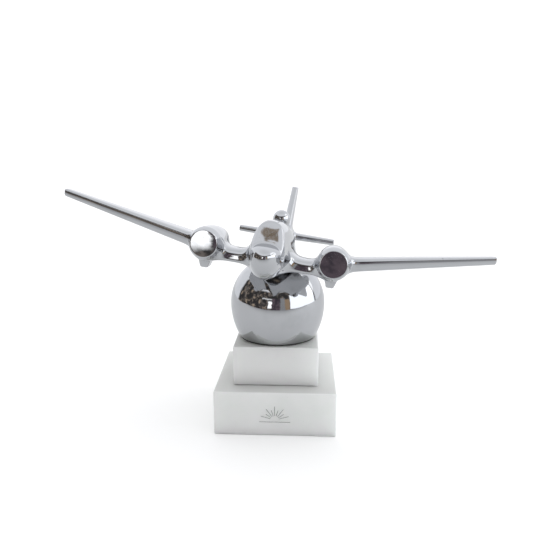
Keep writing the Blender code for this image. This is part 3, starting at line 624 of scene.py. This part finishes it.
def chrome_material(name, haze):
    """Bright plating with faint smudges, hairline scratches, pin pits and a slightly wavy skin.

    Its colour is darkened in crevices and hollows, as painted shade.
    """
    mat, nodes, shader, where = new_material(name)
    shader.inputs["Metallic"].default_value = 1.0
    smudge = nodes.ramp(nodes.noise(where, 38.0, 6.0, 0.6), 0.48, 0.72)
    scratch = nodes.math("MAXIMUM", nodes.scratches(where, 900.0, (0.3, 0.2, 0.5)),
                         nodes.scratches(where, 700.0, (0.9, 0.1, 2.1)))
    pit = nodes.pits(where, 160.0, 0.10)
    # painted shade: ambient occlusion mixes the colour towards dark grey in crevices and hollows
    crevice_occlusion = nodes.add("ShaderNodeAmbientOcclusion", samples=6)
    crevice_occlusion.inputs["Distance"].default_value = CREVICE_SHADE_REACH
    painted_crevice_shade = nodes.ramp(crevice_occlusion.outputs["AO"], 0.95, 0.45, 0.0, 0.55)
    colour = nodes.mix(smudge, grey(0.57, (0.985, 1.0, 1.03)), grey(0.52, (0.98, 1.0, 1.03)))
    colour = nodes.mix(painted_crevice_shade, colour, grey(0.24, (1.0, 1.0, 1.0)))
    nodes.put(shader.inputs["Base Color"], nodes.mix(pit, colour, grey(0.14)))
    rough = nodes.math("MULTIPLY_ADD", smudge, haze, 0.025)
    rough = nodes.math("MULTIPLY_ADD", scratch, 0.16, rough)
    nodes.put(shader.inputs["Roughness"], nodes.math("MULTIPLY_ADD", pit, 0.4, rough))
    wavy = nodes.bump(nodes.noise(where, 45.0, 2.0), 0.00009)
    pitted = nodes.bump(nodes.math("MULTIPLY", pit, -1.0), 0.00006, wavy)
    scored = nodes.bump(nodes.math("MULTIPLY", scratch, -1.0), 0.000004, pitted)
    nodes.put(shader.inputs["Normal"], scored)
    return mat


def frosted_glass_material():
    """Sand-blasted glass: pale, a little green, with grain, cloudy handling marks and a soft depth.

    The level faces are given a darker colour than the upright ones, as painted shade.
    """
    mat, nodes, shader, where = new_material("frosted_glass")
    facing = nodes.add("ShaderNodeSeparateXYZ")
    nodes.put(facing.inputs[0], nodes.add("ShaderNodeTexCoord").outputs["Normal"])
    # mask of the faces that look up, which get painted shade
    level = nodes.ramp(facing.outputs[2], 0.80, 0.99)
    cloud = nodes.ramp(nodes.noise(where, 26.0, 5.0, 0.6), 0.35, 0.75)
    speck = nodes.pits(where, 420.0, 0.10)
    colour = nodes.mix(cloud, grey(0.88, (0.985, 1.0, 0.985)), grey(0.84, (0.975, 1.0, 0.98)))
    # painted shade: faces that look up are mixed towards a darker grey
    colour = nodes.mix(level, colour, grey(0.66, (0.995, 1.0, 0.98)))
    nodes.put(shader.inputs["Base Color"], nodes.mix(speck, colour, grey(0.66)))
    nodes.put(shader.inputs["Roughness"], nodes.math("MULTIPLY_ADD", cloud, 0.12, 0.42))
    shader.inputs["Subsurface Weight"].default_value = 0.6
    shader.inputs["Subsurface Radius"].default_value = (1.0, 1.1, 1.0)
    shader.inputs["Subsurface Scale"].default_value = 0.016
    grain = nodes.bump(nodes.noise(where, 5200.0, 2.0), 0.00002)
    ripple = nodes.bump(nodes.noise(where, 160.0, 3.0), 0.00003, grain)
    nodes.put(shader.inputs["Normal"], nodes.bump(nodes.math("MULTIPLY", speck, -1.0), 0.0001, ripple))
    return mat


def engraving_material():
    """The bottom of the engraved lines: grey paint rubbed into the rough glass, worn in places."""
    mat, nodes, shader, where = new_material("engraving")
    worn = nodes.ramp(nodes.noise(where, 300.0, 4.0, 0.6), 0.45, 0.72)
    nodes.put(shader.inputs["Base Color"], nodes.mix(worn, grey(0.10), grey(0.34)))
    nodes.put(shader.inputs["Roughness"], nodes.ramp(nodes.noise(where, 1500.0), 0.2, 0.8, 0.55, 0.85))
    nodes.put(shader.inputs["Normal"], nodes.bump(nodes.noise(where, 3000.0, 3.0), 0.00005))
    return mat


def turned_metal_material(name, colour, dark, roughness):
    """Machined metal with fine tool rings about its axis, stains and a few scratches."""
    mat, nodes, shader, where = new_material(name)
    shader.inputs["Metallic"].default_value = 1.0
    stain = nodes.ramp(nodes.noise(where, 210.0, 5.0, 0.6), 0.42, 0.70)
    rings = nodes.noise(nodes.stretched(where, (60.0, 60.0, 9000.0)), 1.0, 2.0)
    scratch = nodes.scratches(where, 1600.0, (0.4, 1.0, 0.2))
    nodes.put(shader.inputs["Base Color"], nodes.mix(stain, colour, dark))
    rough = nodes.math("MULTIPLY_ADD", stain, 0.18, roughness)
    nodes.put(shader.inputs["Roughness"], nodes.math("MULTIPLY_ADD", rings, 0.12, rough))
    tooled = nodes.bump(rings, 0.000012)
    nodes.put(shader.inputs["Normal"], nodes.bump(nodes.math("MULTIPLY", scratch, -1.0), 0.00001, tooled))
    return mat


def felt_material():
    """Matted green wool fibres with lint and worn paler patches."""
    mat, nodes, shader, where = new_material("felt")
    fibre = nodes.noise(where, 2400.0, 8.0, 0.75)
    worn = nodes.ramp(nodes.noise(where, 60.0, 4.0), 0.45, 0.75)
    colour = nodes.mix(fibre, (0.020, 0.055, 0.030, 1.0), (0.060, 0.140, 0.080, 1.0))
    nodes.put(shader.inputs["Base Color"], nodes.mix(worn, colour, (0.090, 0.160, 0.110, 1.0)))
    nodes.put(shader.inputs["Roughness"], nodes.ramp(fibre, 0.2, 0.8, 0.86, 1.0))
    shader.inputs["Sheen Weight"].default_value = 0.4
    nodes.put(shader.inputs["Normal"], nodes.bump(fibre, 0.0004))
    return mat


def dull_material(name, colour, worn_colour, roughness):
    """Rubber or nylon: a matt moulded skin with dust, rubbed spots and fine grain."""
    mat, nodes, shader, where = new_material(name)
    grain = nodes.noise(where, 1800.0, 4.0)
    worn = nodes.ramp(nodes.noise(where, 130.0, 5.0, 0.6), 0.50, 0.78)
    scratch = nodes.scratches(where, 1100.0, (0.2, 0.7, 1.3))
    rubbed = nodes.math("MAXIMUM", worn, scratch)
    nodes.put(shader.inputs["Base Color"], nodes.mix(rubbed, colour, worn_colour))
    nodes.put(shader.inputs["Roughness"], nodes.ramp(grain, 0.2, 0.8, roughness, roughness + 0.15))
    nodes.put(shader.inputs["Normal"], nodes.bump(grain, 0.00006))
    return mat


def make_materials():
    return {
        "chrome": chrome_material("chrome", 0.05),
        "steel": turned_metal_material("steel", grey(0.55), grey(0.36, (1.04, 1.0, 0.94)), 0.20),
        "brass": turned_metal_material("brass", (0.78, 0.58, 0.27, 1.0), (0.46, 0.30, 0.13, 1.0), 0.18),
        "frosted_glass": frosted_glass_material(),
        "engraving": engraving_material(),
        "felt": felt_material(),
        "rubber": dull_material("rubber", grey(0.030), grey(0.085), 0.62),
        "nylon": dull_material("nylon", (0.80, 0.78, 0.70, 1.0), (0.62, 0.60, 0.53, 1.0), 0.38),
    }


# ================================================================ stand
def stroke(bm, points, width, low, high):
    """A thin wall that follows a line of (x, z) points, between two depths along Y."""
    sides = []
    for index, (x, z) in enumerate(points):
        before = points[max(index - 1, 0)]
        after = points[min(index + 1, len(points) - 1)]
        run = Vector((after[0] - before[0], after[1] - before[1])).normalized()
        across = Vector((-run.y, run.x)) * width / 2
        ring = [(x + across.x, low, z + across.y), (x - across.x, low, z - across.y),
                (x - across.x * 0.3, high, z - across.y * 0.3),
                (x + across.x * 0.3, high, z + across.y * 0.3)]
        sides.append([bm.verts.new(point) for point in ring])
    for near, far in zip(sides, sides[1:]):
        for i in range(4):
            j = (i + 1) % 4
            bm.faces.new((near[i], near[j], far[j], far[i]))
    bm.faces.new(sides[0][::-1])
    bm.faces.new(sides[-1])


def fan_engraving():
    """Cutter for the engraved ornament: a plain fan of rays over one straight base line."""
    bm = bmesh.new()
    front = -PLINTH_WIDTH / 2 - 0.5
    floor = -PLINTH_WIDTH / 2 + ENGRAVING_DEPTH
    for i in range(FAN_RAYS):
        angle = mix(FAN_LOW_ANGLE, pi - FAN_LOW_ANGLE, i / (FAN_RAYS - 1))
        end = FAN_LONG_RAY if i % 2 == 0 else FAN_SHORT_RAY
        ray = [(reach * cos(angle), FAN_FOOT_Z + reach * sin(angle)) for reach in (FAN_RAY_START, end)]
        stroke(bm, ray, ENGRAVING_WIDTH, front, floor)
    base_z = FAN_FOOT_Z - FAN_BASE_DROP
    base_line = [(-FAN_BASE_HALF_LENGTH, base_z), (FAN_BASE_HALF_LENGTH, base_z)]
    stroke(bm, base_line, ENGRAVING_WIDTH, front, floor)
    bmesh.ops.recalc_face_normals(bm, faces=bm.faces)
    return bm


def cut_block(name, width, low, high, mat, cutters):
    """A square block with rounded ground edges and the given shapes cut out of it."""
    bm = bmesh.new()
    bmesh.ops.create_cube(bm, size=1.0)
    bmesh.ops.scale(bm, vec=(width, width, high - low), verts=bm.verts)
    bmesh.ops.translate(bm, verts=bm.verts, vec=(0, 0, (low + high) / 2))
    bmesh.ops.bevel(bm, geom=bm.edges[:], offset=PLINTH_BEVEL, segments=4, profile=0.5, affect="EDGES")
    obj = link_object(name, bm, mat, sharp=25)
    tools = []
    for index, (cutter, cut_mat) in enumerate(cutters):
        tool = link_object(name + "_tool", cutter, cut_mat)
        tools.append(tool)
        modifier = obj.modifiers.new("Cut %d" % index, "BOOLEAN")
        modifier.operation = "DIFFERENCE"
        modifier.solver = "EXACT"
        modifier.material_mode = "TRANSFER"
        modifier.object = tool
    bpy.context.view_layer.update()
    graph = bpy.context.evaluated_depsgraph_get()
    finished = bpy.data.meshes.new_from_object(obj.evaluated_get(graph))
    obj.modifiers.clear()
    obj.data = finished
    finished.set_sharp_from_angle(angle=radians(25))
    for tool in tools:
        bpy.data.objects.remove(tool)
    return obj


def make_plinths(mats):
    recess = turned([(0, -1), (RECESS_CORNER, -1), (RECESS_CORNER, RECESS_TOP), (0, RECESS_TOP)], 4)
    bmesh.ops.rotate(recess, verts=recess.verts, cent=(0, 0, 0), matrix=Matrix.Rotation(pi / 4, 3, "Z"))
    counterbore = turned([(0, 0.5), (COUNTERBORE_RADIUS, 0.5), (COUNTERBORE_RADIUS, COUNTERBORE_TOP),
                          (0, COUNTERBORE_TOP)], 64)
    through = [(0, 2), (BOLT_HOLE_RADIUS, 2), (BOLT_HOLE_RADIUS, 66), (0, 66)]
    glass = mats["frosted_glass"]
    lower = cut_block("plinth_lower", PLINTH_WIDTH, *LOWER_PLINTH, glass,
                      [(recess, glass), (counterbore, glass), (turned(through, 48), glass),
                       (fan_engraving(), mats["engraving"])])
    upper = cut_block("plinth_upper", UPPER_PLINTH_WIDTH, *UPPER_PLINTH, glass,
                      [(turned(through, 48), glass)])
    for piece, node in ((lower, "lower_plinth"), (upper, "upper_plinth")):
        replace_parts(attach(piece, "stand"), node)


def globe_outline():
    def lower_half(wall, steps):
        radius = GLOBE_RADIUS - wall
        points = []
        for i in range(steps):
            height = mix(GLOBE_BOTTOM_Z, GLOBE_CENTRE_Z, i / steps)
            drop = (GLOBE_CENTRE_Z - height) / (GLOBE_LOWER_STRETCH * radius)
            points.append((radius * sqrt(1 - drop * drop), height))
        return points

    def upper_half(wall, steps):
        radius = GLOBE_RADIUS - wall
        return arc(GLOBE_CENTRE_Z, radius, 0, pi / 2 - GLOBE_HOLE_RADIUS / radius, steps)

    outside = lower_half(0.0, 40) + upper_half(0.0, 72)
    inside = lower_half(GLOBE_WALL, 10) + upper_half(GLOBE_WALL, 18)
    return outside + inside[::-1]


def make_globe(mats):
    globe = link_object("globe", turned(globe_outline(), 160), mats["chrome"])
    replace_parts(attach(globe, "stand"), "globe_shell")
    low = GLOBE_CENTRE_Z + GLOBE_RADIUS + 0.3
    high = low + 1.3
    bush = [(2.5, 120.0), (3.2, 120.0), (3.5, 120.3), (3.5, low), (5.2, low), (5.4, low + 0.15),
            (5.4, high - 0.35), (5.3, high - 0.12), (5.05, high), (2.75, high), (2.5, high - 0.2)]
    piece = link_object("bush", turned(bush, 96), mats["brass"])
    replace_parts(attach(piece, "stand"), "swivel_bush")


def make_ball_joint(mats, heading, banked):
    """The ball stud on its grooved neck, and the clamp knob with a turned collar line."""
    neck_angle = -pi / 2 + NECK_RADIUS / BALL_RADIUS
    stud = [(0, -24.0), (NECK_RADIUS - 0.4, -24.0), (NECK_RADIUS, -23.6), (NECK_RADIUS, -7.4)]
    stud += [(NECK_RADIUS - 0.25, -7.1), (NECK_RADIUS - 0.25, -6.7), (NECK_RADIUS, -6.4)]
    stud += arc(0, BALL_RADIUS, neck_angle, pi / 2, 40)[:-1] + [(0, BALL_RADIUS)]
    piece = link_object("stud", turned(stud, 96), mats["steel"], heading)
    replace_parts(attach(piece, "swivel_stud"), "ball_stud")

    foot_angle = -np.arccos(sqrt(KNOB_RADIUS ** 2 - KNOB_FOOT ** 2) / KNOB_RADIUS)
    knob = [(2.25, KNOB_FOOT), (sqrt(KNOB_RADIUS ** 2 - KNOB_FOOT ** 2) - 0.2, KNOB_FOOT)]
    knob += arc(0, KNOB_RADIUS, foot_angle + 0.04, pi / 2, 64)[:-1]
    knob += [(0, KNOB_RADIUS), (0, 1.3), (2.25, 1.3)]
    knob_at = banked @ Matrix.Translation((0, 0, KNOB_HEIGHT * MM))
    piece = link_object("knob", turned(knob, 96), mats["chrome"], knob_at)
    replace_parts(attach(piece, "clamp_knob"), "clamp_knob")


# ================================================================ airframe pieces
def make_airframe(mats, airframe):
    inner_x, middle_x, outer_x = WING_CUT_INNER, WING_CUT_MIDDLE, WING_CUT_OUTER
    at_tail = 122.0
    hull = casting((-18.7, -33.2, -18.4), (18.7, 170.0, 25.0), (0.85, 0.85, 0.85), [
        ((inner_x, 0, 0), (1, 0, 0)), ((-inner_x, 0, 0), (-1, 0, 0)),
        ((TAILPLANE_CUT_X, 0, 0), (1, 0, 0), lambda c: c.y > at_tail),
        ((-TAILPLANE_CUT_X, 0, 0), (-1, 0, 0), lambda c: c.y > at_tail),
        ((0, 0, FIN_CUT_Z), (0, 0, 1), lambda c: c.y > 105.0)])
    place(casting_object("fuselage_casting", hull, airframe), mats, "fuselage")

    fin = casting((-6.5, 112.0, FIN_CUT_Z - 1.2), (6.5, 173.0, FIN_TOP_Z + 1.5), (0.45, 0.7, 0.7),
                  [((0, 0, FIN_CUT_Z), (0, 0, -1))])
    place(casting_object("fin_casting", fin, airframe), mats, "fin")

    half_tail = casting((TAILPLANE_CUT_X - 1.0, 129.0, -4.0), (44.2, 164.0, 9.0), (0.8, 0.6, 0.4),
                        [((TAILPLANE_CUT_X, 0, 0), (-1, 0, 0))])
    other = half_tail.copy()
    right = casting_object("tailplane_right", half_tail, airframe)
    left = casting_object("tailplane_left", other, airframe, mirror=True)
    place(right, mats, "tailplane")
    place(left, mats, "tailplane")

    regions = (
        ("centre_wing", (inner_x - 1.0, -6.0, -17.0), (middle_x + 1.0, 52.0, 10.0), (0.6, 0.6, 0.6),
         [((inner_x, 0, 0), (-1, 0, 0)), ((middle_x, 0, 0), (1, 0, 0))]),
        ("nacelle", (middle_x - 1.0, -8.0, -18.6), (outer_x + 1.0, 62.0, 13.0), (0.5, 0.5, 0.5),
         [((middle_x, 0, 0), (-1, 0, 0)), ((outer_x, 0, 0), (1, 0, 0)),
          ((0, 0, STUB_CUT_Z), (0, 0, -1))]),
        ("undercarriage_stub", (37.0, 1.0, -18.6), (50.0, 21.0, STUB_CUT_Z + 0.8), (0.4, 0.4, 0.4),
         [((0, 0, STUB_CUT_Z), (0, 0, 1))]),
        ("outer_wing", (outer_x - 1.5, -2.0, -9.0), (WING_TIP_X + 1.5, 44.0, 23.0), (1.0, 0.6, 0.4),
         [((outer_x, 0, 0), (-1, 0, 0))]),
    )
    for node, low, high, step, cuts in regions:
        bm = casting(low, high, step, cuts)
        other = bm.copy()
        place(casting_object(node + "_casting_right", bm, airframe), mats, node + "_right")
        place(casting_object(node + "_casting_left", other, airframe, mirror=True), mats, node + "_left")


def place(piece, mats, node):
    piece.data.materials.append(mats["chrome"])
    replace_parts(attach(piece, "aircraft"), node)


# ================================================================ setting
def make_world():
    """A white tent, open towards the viewer on a dim room with a window on its right.

    The room is only ever mirrored: looked at directly, the backdrop is plain white all round.
    """
    world = bpy.data.worlds.new("studio")
    world.use_nodes = True
    bpy.context.scene.world = world
    nodes = Nodes(world.node_tree)
    sky = world.node_tree.nodes["Background"]
    way = nodes.add("ShaderNodeTexCoord").outputs["Generated"]
    split = nodes.add("ShaderNodeSeparateXYZ")
    nodes.put(split.inputs[0], way)
    ragged = nodes.math("SUBTRACT", nodes.noise(way, 5.0, 5.0, 0.7), 0.5)
    azimuth = nodes.math("ARCTAN2", split.outputs[0], nodes.math("MULTIPLY", split.outputs[1], -1.0))
    tidy_side = nodes.ramp(azimuth, radians(14), radians(36), 1.0, 0.15)
    ragged = nodes.math("MULTIPLY", ragged, tidy_side)
    azimuth = nodes.math("MULTIPLY_ADD", ragged, 0.22, azimuth)
    elevation = nodes.math("MULTIPLY_ADD", ragged, 0.16, nodes.math("ARCSINE", split.outputs[2]))

    def window(value, low, high, soft):
        rise = nodes.ramp(value, radians(low - soft), radians(low + soft))
        fall = nodes.ramp(value, radians(high - soft), radians(high + soft))
        return nodes.math("MULTIPLY", rise, nodes.math("SUBTRACT", 1.0, fall))

    clutter = nodes.ramp(nodes.noise(way, 6.0, 6.0, 0.7), 0.46, 0.62)
    beige = nodes.ramp(nodes.noise(way, 5.0, 4.0, 0.6), 0.52, 0.60)
    room = nodes.mix(clutter, grey(0.045, (1.0, 0.95, 0.95)), (0.23, 0.20, 0.18, 1.0))
    room = nodes.mix(nodes.math("MULTIPLY", beige, clutter), room, (0.55, 0.43, 0.32, 1.0))
    person = nodes.mix(nodes.ramp(nodes.noise(way, 4.5, 5.0, 0.6), 0.40, 0.62),
                       grey(0.06, (1.0, 0.85, 1.05)), (0.17, 0.130, 0.150, 1.0))
    overhead = nodes.ramp(split.outputs[2], 0.80, 0.99)
    mirrored_tent = nodes.mix(overhead, grey(1.02, (0.985, 1.0, 1.04)), grey(0.90, (0.985, 1.0, 1.03)))
    light_path = nodes.add("ShaderNodeLightPath")
    backdrop = grey(1.16, (1.0, 1.005, 1.015))
    colour = nodes.mix(light_path.outputs["Is Glossy Ray"], backdrop, mirrored_tent)
    patches = (
        (-108, 108, 3.0, -95, 36, 3.0, room),
        (-21, -12, 1.2, -2.5, 13, 2.5, grey(2.0)),
        (-36, -8, 0.8, 17, 20, 0.8, grey(0.9)),
        (-11, 20, 1.2, -95, 21, 1.2, person),
        (9, 21, 2.0, -14, 21, 3.0, grey(0.36, (0.99, 1.0, 1.03))),
        (20, 32, 2.0, -8, 18, 2.0, (0.42, 0.30, 0.20, 1.0)),
        (33, 104, 1.2, -5, 27, 1.2, grey(1.8, (0.97, 1.0, 1.05))),
    )
    for left, right, side_soft, low, high, soft, tone in patches:
        across = window(azimuth, left, right, side_soft)
        colour = nodes.mix(nodes.math("MULTIPLY", across, window(elevation, low, high, soft)), colour, tone)
    colour = nodes.mix(light_path.outputs["Is Camera Ray"], colour, backdrop)
    nodes.put(sky.inputs["Color"], colour)
    sky.inputs["Strength"].default_value = 1.0


def make_floor():
    """A white table with its front edge near the viewer, dimmer in mirror reflections."""
    bm = bmesh.new()
    bmesh.ops.create_grid(bm, x_segments=24, y_segments=24, size=1.0)
    bmesh.ops.scale(bm, vec=(TABLE_WIDTH / 2, TABLE_DEPTH / 2, 1), verts=bm.verts)
    bmesh.ops.translate(bm, verts=bm.verts, vec=(0, TABLE_FRONT + TABLE_DEPTH / 2, -0.1))
    mat, nodes, shader, where = new_material("table_white")
    light_path = nodes.add("ShaderNodeLightPath")
    tone = nodes.ramp(nodes.noise(where, 3.0, 3.0), 0.3, 0.7)
    colour = nodes.mix(tone, grey(0.91), grey(0.93))
    mirrored = light_path.outputs["Is Glossy Ray"]
    split = nodes.add("ShaderNodeSeparateXYZ")
    nodes.put(split.inputs[0], where)
    inward = nodes.ramp(split.outputs[1], TABLE_FRONT * MM, (TABLE_FRONT + TABLE_SHADE_DEPTH) * MM)
    shade = nodes.mix(inward, grey(0.38, (1.0, 1.01, 1.03)), grey(0.73, (1.0, 1.01, 1.02)))
    nodes.put(shader.inputs["Base Color"], nodes.mix(mirrored, colour, shade))
    nodes.put(shader.inputs["Roughness"], nodes.ramp(nodes.noise(where, 40.0), 0.2, 0.8, 0.55, 0.7))
    nodes.put(shader.inputs["Normal"], nodes.bump(nodes.noise(where, 900.0), 0.00003))
    shader.inputs["Emission Color"].default_value = grey(1.0)
    glow = nodes.math("MULTIPLY", light_path.outputs["Is Camera Ray"], TABLE_GLOW)
    nodes.put(shader.inputs["Emission Strength"], glow)
    link_object("table", bm, mat)


def make_overhead_card():
    """A small tan square above the viewer, which the windscreen mirrors."""
    bm = bmesh.new()
    bmesh.ops.create_grid(bm, x_segments=8, y_segments=8, size=0.5)
    bmesh.ops.scale(bm, vec=(*CARD_SIZE, 1), verts=bm.verts)
    mat, nodes, shader, where = new_material("tan_card")
    blotch = nodes.ramp(nodes.noise(where, 60.0, 4.0), 0.35, 0.65)
    tan = nodes.mix(blotch, (0.30, 0.23, 0.16, 1.0), (0.38, 0.30, 0.22, 1.0))
    nodes.put(shader.inputs["Base Color"], tan)
    nodes.put(shader.inputs["Roughness"], nodes.ramp(blotch, 0.0, 1.0, 0.7, 0.8))
    facing = Vector(CARD_FACING).to_track_quat("Z", "Y").to_matrix().to_4x4()
    link_object("tan_card", bm, mat, Matrix.Translation(Vector(CARD_AT) * MM) @ facing)


def make_light():
    lamp = bpy.data.lights.new("key", "AREA")
    lamp.shape = "DISK"
    lamp.size = LIGHT_SIZE
    lamp.energy = LIGHT_POWER
    obj = bpy.data.objects.new("key", lamp)
    bpy.context.scene.collection.objects.link(obj)
    obj.location = LIGHT_AT
    aim = Vector(LIGHT_TARGET) - Vector(LIGHT_AT)
    obj.rotation_euler = aim.to_track_quat("-Z", "Y").to_euler()


def make_camera():
    camera = bpy.data.cameras.new("camera")
    camera.sensor_width = 36.0
    camera.lens = CAMERA_LENS
    camera.clip_start = 0.01
    obj = bpy.data.objects.new("camera", camera)
    bpy.context.scene.collection.objects.link(obj)
    obj.location = CAMERA_AT
    obj.rotation_euler = CAMERA_TURN
    bpy.context.scene.camera = obj


# ================================================================ assembly
def attitude(joints):
    """Matrices at the ball's centre: upright but headed, and banked with the airframe."""
    axes = {joint["name"]: Vector(joint["axis"]) for joint in joints}
    centre = Matrix.Translation((0, 0, BALL_Z * MM))
    pitch_axis = axes["pitch_tilt"].normalized()
    back = axes["bank_tilt"].normalized()
    up = axes["clamp_travel"].normalized()
    level = Matrix((pitch_axis, Vector((0, 0, 1)).cross(pitch_axis), (0, 0, 1))).transposed().to_4x4()
    banked = Matrix((back.cross(up), back, up)).transposed().to_4x4()
    return centre @ level, centre @ banked


def dress_carried_nodes(nodes, record, mats):
    """Give the CAD pieces that are shown as they are the finish of their material slot."""
    slots = {part["node"]: part["material_slot"] for part in record["subparts"]}
    for name, obj in nodes.items():
        if not obj.hide_render:
            for index in range(len(obj.material_slots)):
                obj.material_slots[index].material = mats[slots[name]]


def main():
    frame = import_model()
    mats = make_materials()
    headed, banked = attitude(frame["joints"])
    airframe = banked @ Matrix.Translation(-Vector(BALL_AT) * MM)
    make_plinths(mats)
    make_globe(mats)
    make_ball_joint(mats, headed, banked)
    make_airframe(mats, airframe)
    dress_carried_nodes(frame["nodes"], frame["record"], mats)
    make_world()
    make_floor()
    make_overhead_card()
    make_light()
    make_camera()
    bpy.context.scene.view_settings.view_transform = "Standard"


main()
